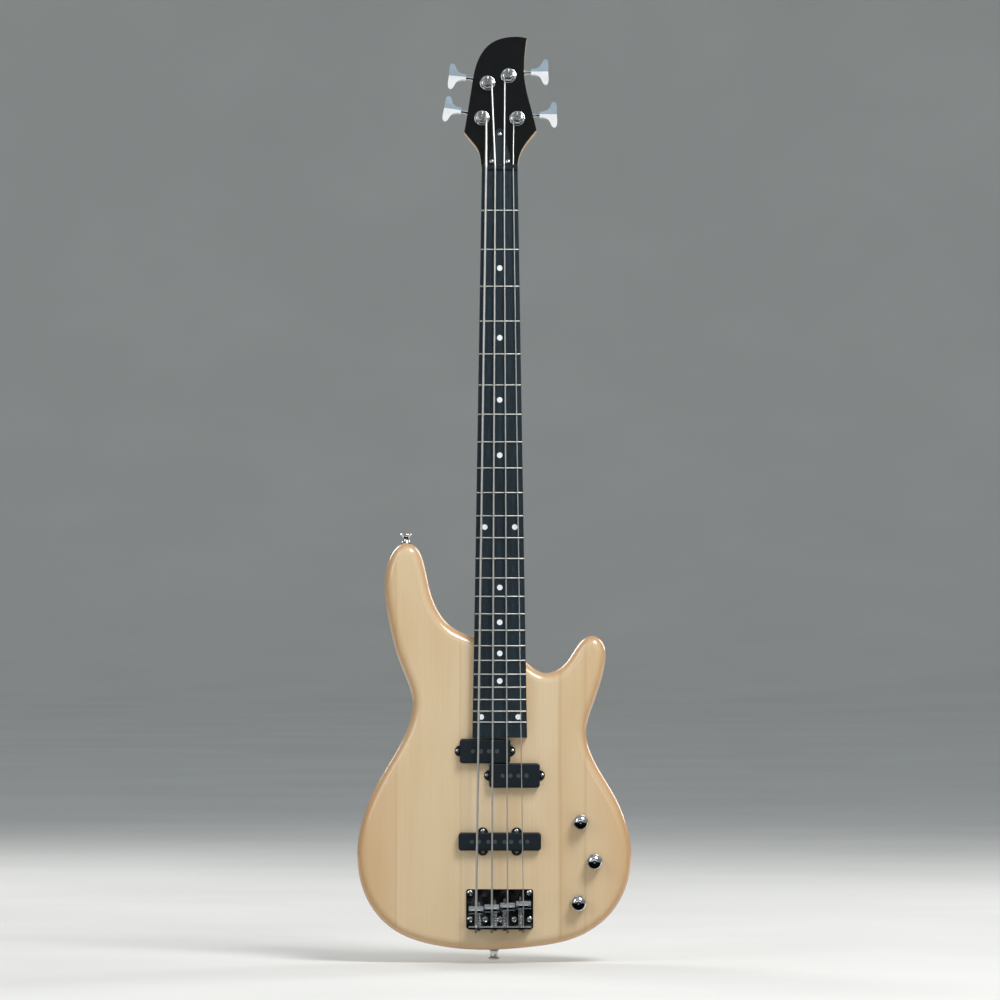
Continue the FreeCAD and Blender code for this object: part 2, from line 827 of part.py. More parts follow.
head_body, head_pad = padded("headstock", head_outline(), "head_thickness", True)
softened(
    head_body, head_pad, "headstock_blend", "head_blend",
    lambda edge: edge.BoundBox.ZMax < -s.head_thickness / 2 and edge.BoundBox.YMax < -s.head_root / 2)
head_wood = group([head_body], head_frame.multiply(Placement(Vector(0, 0, -s.veneer_thickness), Rotation())))
veneer_body, veneer_pad = padded("veneer", head_outline(), "veneer_thickness", True)
veneer_sheet = group([veneer_body], head_frame)
above_shaft = block((0, "-2 * head_root", "neck_stand - head_root"), "2 * nut_width", "4 * head_root",
                    "3 * head_root")
rod_slot = block((0, "-rod_length / 2", "neck_stand - rod_depth"), "rod_width", "rod_length", "rod_depth")
rod_room = group(
    [block((0, "nut_thickness + rod_pocket_length / 2", "-rod_pocket_depth"), "rod_pocket_width",
           "rod_pocket_length", "rod_pocket_depth + overshoot")], head_frame)
above_neck = block(
    (0, -board_length / 2, "neck_stand"), "2 * board_end_width", board_length, "board_thickness")

# Tuners: one right-hand set drawn round its post, with the face of the headstock at zero
under_head = "-(head_thickness + veneer_thickness)"
worm_height = "-(head_thickness + veneer_thickness + worm_depth)"
head_stack = s.head_thickness + s.veneer_thickness
worm_z = -(head_stack + s.worm_depth)
gear_low = "-(head_thickness + veneer_thickness + worm_depth + gear_face / 2)"
post_low = "head_thickness + veneer_thickness + worm_depth + gear_face / 2"
post_parts = [
    rod((0, 0, gear_low), "post_shank", post_low),
    rod((0, 0, under_head), "post_radius",
        "head_thickness + veneer_thickness + washer_height + bush_height"),
    rod((0, 0, 0), "post_waist", "washer_height + bush_height + post_waist_height"),
    rod((0, 0, "washer_height + bush_height + post_waist_height"), "post_cap_radius", "post_cap_height"),
]
slot_low = "washer_height + bush_height + post_waist_height + post_cap_height - post_slot_depth"
post_slot = block((0, 0, slot_low), "post_slot_width", "4 * post_radius", "post_slot_depth + overshoot")
post_hole = rod((0, 0, "washer_height + bush_height + post_waist_height / 2"),
                "post_slot_width / 2", "post_waist_height + post_cap_height")
post_piece = cut(gather(*post_parts), post_slot, post_hole)
bush_piece = cut(
    gather(
        rod((0, 0, 0), "washer_radius", "washer_height"),
        hexagon((0, 0, "washer_height"), "bush_flats", "bush_height"),
        rod((0, 0, under_head), "bush_radius", "head_thickness + veneer_thickness + washer_height"),
    ),
    rod((0, 0, "-(head_thickness + veneer_thickness + overshoot)"), "post_radius + running_gap",
        "head_thickness + veneer_thickness + washer_height + bush_height + 2 * overshoot"),
)
bush_hole = rod((0, 0, "-(head_thickness + veneer_thickness + overshoot)"), "bush_radius + running_gap",
                "head_thickness + veneer_thickness + 2 * overshoot")


def gear_outline():
    """Teeth of the wheel: straight flanks from the root circle to the tip circle, a tooth on +y."""
    points = []
    count = int(s.gear_teeth)
    for tooth in range(count):
        middle = math.pi / 2 + 2 * math.pi * tooth / count
        for radius, width in (
            (s.gear_root, -s.tooth_root), (s.gear_tip, -s.tooth_tip),
            (s.gear_tip, s.tooth_tip), (s.gear_root, s.tooth_root),
        ):
            angle = middle + width / 2 / radius
            points.append(Vector(radius * math.cos(angle), radius * math.sin(angle), 0))
    return [Part.LineSegment(start, end) for start, end in zip(points, points[1:] + points[:1])]


gear_body, gear_pad = padded("gear", gear_outline(), "gear_face")
gear_blank = group([gear_body], Placement(Vector(0, 0, worm_z - s.gear_face / 2), Rotation()))
gear_piece = cut(gear_blank, rod((0, 0, gear_low), "post_shank", "2 * gear_face"))

# Worm: a thread of one start whose pitch is the gear's tooth spacing on its pitch circle
worm_pitch = 2 * math.pi * (s.gear_root + s.gear_tip) / 2 / s.gear_teeth
thread_turns = math.floor(s.worm_length / worm_pitch) - 1
thread_run = thread_turns * worm_pitch
thread_line = Part.makeHelix(worm_pitch, thread_run, s.thread_root)
thread_section = Part.makePolygon([
    Vector(s.thread_root, 0, -s.thread_root_half),
    Vector(s.thread_crest, 0, -s.thread_crest_half),
    Vector(s.thread_crest, 0, s.thread_crest_half),
    Vector(s.thread_root, 0, s.thread_root_half),
    Vector(s.thread_root, 0, -s.thread_root_half),
])
thread_solid = Part.Wire(thread_line).makePipeShell([Part.Wire(thread_section.Edges)], True, True)
# At rest the side of the worm that faces the gear shows a gap at the gear's middle tooth.
to_shaft = Placement(Vector(0, s.worm_centre, worm_z), Rotation(Z_AXIS, X_AXIS))
facing_gear = to_shaft.Rotation.inverted().multVec(Vector(0, -1, 0))
facing_angle = math.degrees(math.atan2(facing_gear.y, facing_gear.x))
thread_start = -thread_run / 2 + worm_pitch / 2
thread_solid.rotate(Vector(), Z_AXIS, facing_angle)
thread_solid.translate(Z_AXIS * (thread_start - worm_pitch * (thread_turns % 2) / 2))
thread_solid.Placement = to_shaft.multiply(thread_solid.Placement)
worm_thread = shaped(thread_solid)
key_start = s.key_reach - s.key_length
shaft_from = -s.worm_length / 2
key_points = [(key_start + out * s.key_length, across * s.key_spread, 0) for out, across in KEY_SHARES]
key_body, key_pad = padded(
    "key_button",
    [spline(key_points), Part.LineSegment(Vector(*key_points[-1]), Vector(*key_points[0]))],
    "key_thickness")
key_ridge = s.key_thickness / 2
key_edge = s.key_rim / 2
key_half = s.key_spread / 2
key_fold = Part.makePolygon([
    Vector(0, across, key_ridge + up)
    for across, up in ((-key_half, -key_edge), (0, -key_ridge), (key_half, -key_edge), (key_half, key_edge),
                       (0, key_ridge), (-key_half, key_edge), (-key_half, -key_edge))])
key_roof = shaped(Part.Face(key_fold).extrude(Vector(s.key_reach, 0, 0)))
key_button = group([common(key_body, key_roof)],
                   Placement(Vector(0, s.worm_centre, worm_z - key_ridge), Rotation()))
key_piece = gather(
    rod((shaft_from, "worm_centre", worm_height), "worm_core", key_start + s.overshoot - shaft_from, "x"),
    rod((s.boss_end + s.running_gap, "worm_centre", worm_height), "key_collar_radius",
        "key_collar_length", "x"),
    worm_thread,
    key_button,
)
case_block = rounded(
    block(("(case_right - case_left) / 2", "(case_high - case_low) / 2",
           "-(head_thickness + veneer_thickness + case_height)"),
          "case_right + case_left", "case_high + case_low", "case_height"),
    s.case_round,
    lambda edge: upright(edge) or edge.BoundBox.ZMax < -head_stack - s.case_height / 2)
case_lug = rod((0, "-lug_offset", "-(head_thickness + veneer_thickness + lug_height)"),
               "lug_radius", "lug_height")
case_boss = rod(("case_right - case_wall", "worm_centre", worm_height), "boss_radius",
                "boss_end - case_right + case_wall", "x")
lug_screw = gather(
    rod((0, "-lug_offset",
         "-(head_thickness + veneer_thickness + lug_height + small_screw_head_height)"),
        "small_screw_head", "small_screw_head_height"),
    rod((0, "-lug_offset", "-(head_thickness + veneer_thickness + lug_height)"),
        "small_screw_radius", "lug_height + small_screw_bite"))
case_piece = cut(
    gather(case_block, case_lug, case_boss),
    rod((0, 0, "-(head_thickness + veneer_thickness + case_height - case_wall)"),
        "gear_tip + case_gap", "case_height"),
    rod(("-(worm_length / 2 + case_gap)", "worm_centre", worm_height), "thread_crest + case_gap",
        "case_right - case_wall + worm_length / 2", "x"),
    rod((0, "worm_centre", worm_height), "worm_core + running_gap", "boss_end + overshoot", "x"),
    lug_screw,
)
tuner_places = {}
twins = {name: mirrored(piece) for name, piece in (
    ("post", post_piece), ("gear", gear_piece), ("key", key_piece), ("case", case_piece),
    ("bush", bush_piece), ("screw", lug_screw), ("hole", bush_hole))}
rights = {"post": post_piece, "gear": gear_piece, "key": key_piece, "case": case_piece,
          "bush": bush_piece, "screw": lug_screw, "hole": bush_hole}
cases = []
bushes = []
tuner_screws = []
head_holes = []
tuner_frames = {}
for name in STRING_ORDER:
    parts = rights if KEY_SIDES[name] > 0 else twins
    spot = head_frame.multiply(Placement(POSTS[name], Rotation(Z_AXIS, TUNER_TURNS[name])))
    tuner_frames[name] = spot
    node("tuner_key_" + name, [parts["key"]], spot)
    node("string_post_" + name, [parts["post"], parts["gear"]], spot)
    cases.append(group([parts["case"]], spot))
    bushes.append(group([parts["bush"]], spot))
    tuner_screws.append(group([parts["screw"]], spot))
    head_holes.append(group([parts["hole"]], spot))
node("tuner_housings", cases)
node("tuner_bushings", bushes)


# Small dome-headed screws, drawn with their heads on a plane
def wood_screw(at, head_radius, head_height, shank_radius, bite, rise="0"):
    """Screw along -z: head above a point, shank below it."""
    x, y, z = at
    shank = rod((x, y, "(%s) - (%s)" % (z, bite)), shank_radius, "(%s) + (%s)" % (bite, rise))
    head = taper((x, y, "(%s) + (%s)" % (z, rise)), head_radius, "(%s) * 2 / 3" % head_radius, head_height)
    return gather(head, shank)


# Cover over the truss rod, on the face of the headstock
cover_half = s.cover_base_width / 2
cover_right = [
    (half * cover_half, s.cover_from_nut + along * s.cover_length, 0) for half, along in COVER_SHARES
]
cover_left = [(-x, y, z) for x, y, z in reversed(cover_right)]
cover_low_right = Vector(cover_half, s.cover_from_nut, 0)
cover_low_left = Vector(-cover_half, s.cover_from_nut, 0)
cover_top = Part.Arc(Vector(*cover_right[-1]), Vector(0, s.cover_from_nut + s.cover_length, 0),
                     Vector(*cover_left[0]))
cover_body, cover_pad = padded("rod_cover", [
    Part.LineSegment(cover_low_left, cover_low_right),
    Part.LineSegment(cover_low_right, Vector(*cover_right[0])),
    spline(cover_right),
    cover_top,
    spline(cover_left),
    Part.LineSegment(Vector(*cover_left[-1]), cover_low_left),
], "cover_thickness")
cover_screws = [
    wood_screw(spot + ("cover_thickness",), "small_screw_head", "small_screw_head_height",
               "small_screw_radius", "cover_thickness + small_screw_bite")
    for spot in (
        (0, "cover_screw_high"), ("cover_screw_side", "cover_screw_low"),
        ("-cover_screw_side", "cover_screw_low"))
]
node("truss_rod_cover", [cut(cover_body, group(cover_screws))], head_frame)
cover_screws_set = group(cover_screws, head_frame)
rod_bar = rod_slot
rod_nut = hexagon((0, 0, "neck_stand - rod_depth / 2 - rod_nut_radius / 2"), "2 * rod_nut_radius",
                  "rod_nut_length", "y")
node("truss_rod", [rod_bar, rod_nut])
neck_screw_spots = [
    (sign + "neck_screw_side", -board_length + low)
    for sign in ("", "-") for low in (s.neck_screw_low, s.neck_screw_high)
]
neck_screws = []
ferrules = []
ferrule_holes = []
for x, y in neck_screw_spots:
    shank_length = "body_thickness - pocket_depth + neck_screw_bite - ferrule_depth"
    neck_screws.append(gather(
        taper((x, y, "-body_thickness"), "neck_screw_head", "neck_screw_radius", "ferrule_depth"),
        rod((x, y, "-body_thickness + ferrule_depth"), "neck_screw_radius", shank_length)))
    hole = rod((x, y, "-body_thickness"), "ferrule_radius", "ferrule_depth")
    ferrule_holes.append(hole)
    ferrules.append(cut(hole, neck_screws[-1]))
node("neck_screws", neck_screws)
node("neck_ferrules", ferrules)
neck_wood = gather(*neck_pieces, head_wood)
node("neck", [cut(neck_wood, above_neck, nut_block, rod_slot, rod_nut, rod_room, cover_screws_set,
                  group(head_holes), group(tuner_screws), group(neck_screws))])
node("headstock_veneer", [cut(veneer_sheet, nut_block, above_shaft, rod_room, cover_screws_set,
                              group(head_holes))])

# Bridge: bent plate, screwed down, with four barrel saddles
plate_mid = plate_front - s.plate_length / 2
plate_flat = rounded(block((0, plate_mid, 0), "plate_width", "plate_length", "plate_thickness"),
                     s.plate_round, upright)
plate_flange = block((0, plate_back + s.plate_thickness / 2, 0), "plate_width - 2 * plate_round",
                     "plate_thickness", "flange_height")
bridge_screw_spots = [
    (x, plate_front - s.bridge_screw_front) for x in ("bridge_screw_side", "-bridge_screw_side")
]
bridge_screw_spots += [
    (x, plate_front - s.bridge_screw_back)
    for x in ("bridge_screw_side", "bridge_screw_mid", "0", "-bridge_screw_mid", "-bridge_screw_side")
]
bridge_screws = [
    wood_screw(spot + ("plate_thickness",), "bridge_screw_head", "bridge_screw_head_height",
               "bridge_screw_radius", "bridge_screw_bite")
    for spot in bridge_screw_spots
]
flange_holes = []
adjusters = []
flange_face = plate_back + s.plate_thickness
for name in STRING_ORDER:
    string_x = STRING_SHARES[name] * s.bridge_spread
    adjuster_x = string_x + INWARD[name] * s.adjuster_offset
    saddle_z = s.string_over_body - s.saddle_radius + s.saddle_groove
    radius = STRING_RADII[name]
    flange_holes.append(rod((string_x, plate_back - s.overshoot, "string_hole_height"),
                            radius + s.string_hole_gap, "plate_thickness + 2 * overshoot", "y"))
    flange_holes.append(rod((adjuster_x, plate_back - s.overshoot, "adjuster_height"),
                            "adjuster_radius + slide_gap", "plate_thickness + 2 * overshoot", "y"))
    barrel = rod((string_x - s.saddle_length / 2, crests[name], saddle_z), "saddle_radius",
                 "saddle_length", "x")
    grubs = [
        rod((string_x + side * s.grub_offset, crests[name], "plate_thickness"), "grub_radius",
            "string_over_body + saddle_groove + grub_above - plate_thickness")
        for side in (-1, 1)
    ]
    aim = Vector(
        STRING_SHARES[name] * (s.nut_spread - s.bridge_spread),
        s.nut_thickness / 2 - crests[name],
        board_top + s.string_over_nut - s.string_over_body)
    groove = doc.addObject("Part::Cylinder", "groove")
    bind(groove, "Radius", radius + s.groove_gap)
    bind(groove, "Height", "4 * saddle_radius")
    lift = s.groove_gap - 2 * s.running_gap
    seat = Vector(string_x, crests[name], s.string_over_body + radius + lift)
    groove.Placement = Placement(seat - aim.normalize() * (2 * s.saddle_radius), Rotation(Z_AXIS, aim))
    bend = Vector(string_x, crests[name] - s.saddle_play + s.slide_back, s.string_over_body + radius)
    fall = Vector(string_x, plate_back - s.ball_back, s.string_hole_height) - Vector(
        string_x, crests[name] - s.saddle_play, s.string_over_body + radius)
    back_groove = doc.addObject("Part::Cylinder", "back_groove")
    bind(back_groove, "Radius", radius + s.groove_gap)
    bind(back_groove, "Height", "2 * saddle_radius")
    back_groove.Placement = Placement(bend, Rotation(Z_AXIS, fall))
    bore = rod((adjuster_x, crests[name] - s.saddle_length, "adjuster_height"),
               "adjuster_radius + slide_gap", "2 * saddle_length", "y")
    node("saddle_" + name, [cut(barrel, groove, back_groove, bore, group(grubs))])
    node("saddle_height_screws_" + name, grubs)
    screw_end = -plate_back + crests[name] + s.adjuster_ahead
    adjuster = gather(
        rod((adjuster_x, plate_back - s.adjuster_head_length, "adjuster_height"), "adjuster_head",
            "adjuster_head_length", "y"),
        rod((adjuster_x, plate_back, "adjuster_height"), "adjuster_radius", screw_end, "y"))
    adjusters.append(adjuster)
    room = crests[name] - s.saddle_radius - s.slide_gap - flange_face - 2 * s.spring_wire
    turns = math.floor(room / s.spring_pitch * 4) / 4
    spring_frame = Placement(Vector(adjuster_x, flange_face + s.spring_wire, s.adjuster_height), ALONG["y"])
    curls = winding(s.spring_radius, room / turns, turns, math.pi / 2, 1, spring_frame)
    curl_gap = least_gap(curls, s.spring_wire, 3 * s.spring_radius)
    print("spring %s: least gap between curls %.2f mm" % (name, curl_gap))
    node("intonation_spring_" + name, [shaped(tube(curls, s.spring_wire))])
node("intonation_screws", adjusters)
node("bridge_plate", [cut(gather(plate_flat, plate_flange), group(flange_holes), group(bridge_screws))])


# Pickups: cover, bobbin, coil, poles and the screws through the ears
def pickup(centre_x, centre_y, length, width, poles, ears):
    """Pieces of one pickup: cover, bobbin, coil, poles, screws, foam and the cavity for them."""
    x, y = centre_x, centre_y
    tall = "pickup_rise + pickup_drop"
    slab = rounded(block((x, y, "-pickup_drop"), length, width, tall), s.pickup_corner, upright)
    shell = rounded(slab, s.pickup_round, lambda edge: edge.BoundBox.ZMin > 0)
    inside = "2 * pickup_wall"
    hollow = block((x, y, "-pickup_drop"), "%s - %s" % (length, inside), "%s - %s" % (width, inside),
                   tall + " - pickup_wall")
    ear_discs = [rod((ear_x, ear_y, "ear_rise - ear_height"), "ear_radius", "ear_height")
                 for ear_x, ear_y, out_x, out_y in ears]
    screws = [
        wood_screw((ear_x + out_x, ear_y + out_y, "ear_rise"), "pickup_screw_head",
                   "pickup_screw_head_height", "pickup_screw_radius",
                   "ear_rise + pickup_cavity + pickup_screw_bite")
        for ear_x, ear_y, out_x, out_y in ears
    ]
    pole_rods = [rod((pole_x, y, "-pickup_drop"), "pole_radius", tall) for pole_x in poles]
    pole_holes = [rod((pole_x, y, "-pickup_drop"), "pole_radius + running_gap", tall) for pole_x in poles]
    cover = cut(gather(shell, *ear_discs), hollow, group(pole_holes), group(screws))
    inner_length = "%s - 2 * pickup_wall - 2 * running_gap" % length
    inner_width = "%s - 2 * pickup_wall - 2 * running_gap" % width
    coil_height = tall + " - pickup_wall - 2 * bobbin_flange"
    core = (inner_length + " - 2 * bobbin_core", inner_width + " - 2 * bobbin_core + 2 * coil_inset")
    low = block((x, y, "-pickup_drop"), inner_length, inner_width, "bobbin_flange")
    high = block((x, y, "pickup_rise - pickup_wall - bobbin_flange"), inner_length, inner_width,
                 "bobbin_flange")
    middle = block((x, y, "bobbin_flange - pickup_drop"), core[0], core[1], coil_height)
    bobbin = cut(gather(low, high, middle), group(pole_rods))
    coil_blank = block((x, y, "bobbin_flange - pickup_drop"), inner_length + " - 2 * coil_inset",
                       inner_width + " - 2 * coil_inset", coil_height)
    coil = cut(coil_blank, middle, group(pole_rods))
    foam = block((x, y, "-pickup_cavity"), inner_length, inner_width, "pickup_cavity - pickup_drop")
    gap = "2 * pickup_gap"
    cavity = [rounded(block((x, y, "-pickup_cavity"), "%s + %s" % (length, gap), "%s + %s" % (width, gap),
                            "pickup_cavity + overshoot"), s.pickup_corner + s.pickup_gap, upright)]
    cavity += [rod((ear_x, ear_y, "-pickup_cavity"), "ear_radius + pickup_gap",
                   "pickup_cavity + overshoot") for ear_x, ear_y, out_x, out_y in ears]
    cavity = gather(*cavity)
    return SimpleNamespace(cover=cover, bobbin=bobbin, coil=coil, poles=pole_rods, screws=screws,
                           foam=foam, cavity=cavity)


split_spots = (
    ("split_pickup_cover_low", -s.split_side, -(s.scale_length - s.split_low_back)),
    ("split_pickup_cover_high", s.split_side, -(s.scale_length - s.split_high_back)),
)
pickups = {}
for label, x, y in split_spots:
    poles = [x + s.split_pole_step * (step - 1.5) for step in range(4)]
    ears = [(x + side * s.split_length / 2, y, side * s.ear_screw_out, 0) for side in (-1, 1)]
    pickups[label] = pickup(x, y, "split_length", "split_width", poles, ears)
straight_y = -(s.scale_length - s.straight_back)
straight_poles = [
    s.straight_pole_step * (string - 1.5) + side * s.straight_pole_pair / 2
    for string in range(4) for side in (-1, 1)
]
straight_ears = [
    (side * s.straight_ear_side, straight_y + end * s.straight_width / 2, 0, end * s.straight_screw_out)
    for side in (-1, 1) for end in (-1, 1)
]
pickups["bridge_pickup_cover"] = pickup(0, straight_y, "straight_length", "straight_width",
                                        straight_poles, straight_ears)
for label, item in pickups.items():
    node(label, [item.cover])
node("pickup_bobbins", [item.bobbin for item in pickups.values()])
node("pickup_coils", [item.coil for item in pickups.values()])
node("pickup_poles", [pole for item in pickups.values() for pole in item.poles])
node("pickup_foam", [item.foam for item in pickups.values()])
pickup_screws = [screw for item in pickups.values() for screw in item.screws]
node("pickup_screws", pickup_screws)

# Controls: three potentiometers under the front, turned by knobs
KNOBS = {
    name: Vector(across * s.body_width, tail_line + along * s.body_length, 0)
    for name, (across, along) in KNOB_SHARES.items()
}
pots = []
pot_nuts = []
pot_holes = []
for name, spot in KNOBS.items():
    x, y = spot.x, spot.y
    pot_neck = rod((x, y, "-front_wall"), "pot_neck", "front_wall + pot_neck_rise")
    pot_holes.append(rod((x, y, "-2 * front_wall"), "pot_neck + running_gap", "3 * front_wall"))
    pot_room = rod((x, y, "-(front_wall + pot_height)"), "shaft_radius + running_gap",
                   "front_wall + pot_height + pot_neck_rise")
    pots.append(cut(gather(rod((x, y, "-(front_wall + pot_height)"), "pot_radius", "pot_height"), pot_neck),
                    pot_room))
    pot_nuts.append(cut(
        gather(rod((x, y, 0), "pot_washer", "pot_washer_height"),
               hexagon((x, y, "pot_washer_height"), "pot_nut_flats", "pot_nut_height")),
        rod((x, y, "-front_wall"), "pot_neck", "front_wall + pot_neck_rise")))
    shaft = rod((x, y, "-(front_wall + pot_height)"), "shaft_radius",
                "front_wall + pot_height + shaft_rise")
    side = s.knob_height + s.knob_lift - s.knob_dome
    profile = [
        Part.LineSegment(Vector(0, s.knob_lift, 0), Vector(s.knob_radius, s.knob_lift, 0)),
        Part.LineSegment(Vector(s.knob_radius, s.knob_lift, 0), Vector(s.knob_radius, side, 0)),
    ]
    dome = math.radians(45)
    profile.append(spline([
        (s.knob_radius, side, 0),
        (s.knob_radius * math.cos(dome), side + s.knob_dome * math.sin(dome), 0),
        (0, side + s.knob_dome, 0)]))
    profile.append(Part.LineSegment(Vector(0, side + s.knob_dome, 0), Vector(0, s.knob_lift, 0)))
    knob_body = doc.addObject("PartDesign::Body", "knob")
    knob_sketch = knob_body.newObject("Sketcher::SketchObject", "knob_sketch")
    knob_plane = next(item for item in knob_body.Origin.OriginFeatures if item.Role == "XZ_Plane")
    knob_sketch.AttachmentSupport = [(knob_plane, "")]
    knob_sketch.MapMode = "FlatFace"
    for curve in profile:
        knob_sketch.addGeometry(curve, False)
    turned = knob_body.newObject("PartDesign::Revolution", "knob_turned")
    turned.Profile = knob_sketch
    turned.ReferenceAxis = (knob_sketch, ["V_Axis"])
    turned.Angle = 360
    knob_blank = group([knob_body], Placement(Vector(x, y, 0), Rotation()))
    knob = cut(knob_blank, rod((x, y, 0), "knob_hollow", "knob_hollow_depth"),
               rod((x, y, 0), "shaft_radius", "shaft_rise"))
    node(name + "_knob", [knob, shaft])
node("potentiometers", pots)


def control_outline(reach):
    """Closed outline at a distance round the line that joins the three potentiometers."""
    line = Part.makePolygon(list(KNOBS.values()))
    return line.makeOffset2D(reach)


control_room = shaped(Part.Face(control_outline(s.control_reach)).extrude(
    Vector(0, 0, s.body_thickness - s.front_wall)))
control_room.Placement = Placement(Vector(0, 0, -s.body_thickness), Rotation())
control_seat = shaped(Part.Face(control_outline(s.control_reach + s.cover_lip)).extrude(
    Vector(0, 0, s.cover_plate)))
control_seat.Placement = Placement(Vector(0, 0, -s.body_thickness), Rotation())
plate_reach = s.control_reach + s.cover_lip - s.cover_gap
control_plate = shaped(Part.Face(control_outline(plate_reach)).extrude(Vector(0, 0, s.cover_plate)))
control_plate.Placement = Placement(Vector(0, 0, -s.body_thickness), Rotation())
first, middle_knob, last = list(KNOBS.values())
screw_reach = s.control_reach + s.cover_lip / 2
up = (first - middle_knob).normalize()
down = (last - middle_knob).normalize()
control_screw_spots = [
    first + up * screw_reach,
    last + down * screw_reach,
    middle_knob + X_AXIS * screw_reach,
    first - X_AXIS * screw_reach,
    last - X_AXIS * screw_reach,
]
control_screws = []
for spot in control_screw_spots:
    control_screws.append(gather(
        taper((spot.x, spot.y, "-body_thickness"), "small_screw_head", "small_screw_radius",
              "small_screw_head_height"),
        rod((spot.x, spot.y, "-body_thickness"), "small_screw_radius", "small_screw_bite")))
node("control_cover", [cut(control_plate, group(control_screws))])
node("small_screws", control_screws + [cover_screws_set] + tuner_screws)

# Output jack in the edge of the treble side
jack_y = -(s.scale_length - s.jack_below_scale)
body_curve = spline(
    [(across * s.body_width, tail_line + along * s.body_length, 0) for across, along in BODY_SHARES], True)
edge_x = max(body_curve.value(body_curve.FirstParameter + (
    body_curve.LastParameter - body_curve.FirstParameter) * step / 999).x for step in range(999))
jack_seat = edge_x - s.jack_face
jack_spot = (jack_seat, jack_y, "-jack_depth")
jack_plate = rod(jack_spot, "jack_plate_radius", "jack_plate_height", "x")
jack_nut = hexagon((jack_seat + s.jack_plate_height, jack_y, "-jack_depth"), "jack_nut_flats",
                   "jack_nut_height", "x")
jack_barrel = rod((jack_seat - s.jack_length, jack_y, "-jack_depth"), "jack_barrel",
                  "jack_length + jack_plate_height + jack_nut_height + jack_lip", "x")
jack_bore = rod((jack_seat + s.jack_plate_height + s.jack_nut_height + s.jack_lip - s.plug_depth, jack_y,
                 "-jack_depth"), "plug_radius", "plug_depth + overshoot", "x")
node("output_jack", [cut(jack_barrel, jack_bore)])
node("jack_plate", [cut(jack_plate, jack_barrel)])
node("control_nuts", pot_nuts + [cut(jack_nut, jack_barrel)])
jack_holes = [
    rod(jack_spot, "jack_plate_radius", "4 * jack_face", "x"),
    rod((jack_seat - s.jack_length, jack_y, "-jack_depth"), "jack_barrel", "jack_length + jack_face", "x"),
]

# Strap buttons on the upper horn and the tail, each on a felt ring
horn = max(
    (body_curve.value(body_curve.FirstParameter + (
        body_curve.LastParameter - body_curve.FirstParameter) * step / 999) for step in range(999)),
    key=lambda point: point.y)
button_spots = (
    (Vector(horn.x, horn.y - s.button_seat, 0), 1),
    (Vector(-s.tail_button_side, tail_line + s.button_seat, 0), -1),
)
buttons = []
button_screws = []
felts = []
button_holes = []
for spot, sign in button_spots:
    turn = ALONG["y"] if sign > 0 else Rotation(Z_AXIS, Vector(0, -1, 0))
    frame = Placement(Vector(spot.x, spot.y, -s.body_thickness / 2), turn)
    felt = rod((0, 0, 0), "felt_radius", "felt_height + button_seat")
    base = s.felt_height + s.button_seat
    top = base + s.button_length
    curve = [(out * s.button_radius, base + along * s.button_length, 0) for out, along in BUTTON_SHARES]
    side = spline(curve[:-2]).toShape()
    rim = Part.Arc(*[Vector(*point) for point in curve[-3:]]).toShape()
    ends = Part.makePolygon([Vector(*curve[-1]), Vector(0, top, 0), Vector(0, base, 0), Vector(*curve[0])])
    turned = Part.Face(Part.Wire([side, rim] + ends.Edges)).revolve(Vector(), Y_AXIS, 360)
    turned.rotate(Vector(), X_AXIS, 90)
    screw = gather(
        taper((0, 0, "felt_height + button_seat + button_length - button_screw_radius"),
              "button_screw_radius", "2 * button_screw_radius", "button_screw_radius"),
        rod((0, 0, "-button_screw_bite"), "button_screw_radius",
            "button_screw_bite + felt_height + button_seat + button_length - button_screw_radius"))
    buttons.append(group([cut(shaped(turned), screw)], frame))
    button_screws.append(group([screw], frame))
    felts.append(group([cut(felt, screw)], frame))
    button_holes.append(group([rod((0, 0, 0), "felt_radius", "felt_height + 4 * button_seat")], frame))
node("strap_buttons", buttons)
node("strap_felts", felts)
node("bridge_and_strap_screws", bridge_screws + button_screws)

# Leads: straight runs from the pickups through drilled channels to the controls, and between the controls
def straight_rod(start, end, radius):
    """Cylinder from one point to another."""
    piece = doc.addObject("Part::Cylinder", "straight_rod")
    bind(piece, "Radius", radius)
    run = end - start
    piece.Height = run.Length
    piece.Placement = Placement(start, Rotation(Z_AXIS, run))
    return piece


lead_level = Z_AXIS * -(s.front_wall + s.pot_height / 2)
pot_list = [spot + lead_level for spot in KNOBS.values()]
split_end = Vector(
    s.split_side + s.split_length / 4, -(s.scale_length - s.split_high_back) - s.split_width / 2, 0) + lead_level
straight_end = Vector(s.straight_length / 2, straight_y, 0) + lead_level
leads = []
channels = []
for start, target in ((split_end, pot_list[0]), (straight_end, pot_list[1])):
    heading = (target - start).normalize()
    end = target - heading * (s.pot_radius + s.running_gap)
    leads.append(straight_rod(start + heading * s.lead_start, end, "wire_radius"))
    channels.append(straight_rod(start, end, "channel_radius"))
for start, target in zip(pot_list, pot_list[1:]):
    heading = (target - start).normalize()
    clear = heading * (s.pot_radius + s.running_gap)
    leads.append(straight_rod(start + clear, target - clear, "wire_radius"))
leads.append(rod((jack_seat - s.jack_length + 2 * s.wire_radius, jack_y, "jack_barrel - jack_depth"),
                 "wire_radius", "jack_depth - jack_barrel - front_wall - pot_height"))
tone = KNOBS["tone"]
capacitor = block((tone.x, tone.y, "-(front_wall + pot_height + capacitor_height)"),
                  "capacitor_width", "capacitor_width", "capacitor_height")
node("wiring", leads + [capacitor])

# Body: outline padded and rounded over, then hollowed for everything set into it
body_pieces, body_pad = padded("slab", [body_curve], "body_thickness", True)
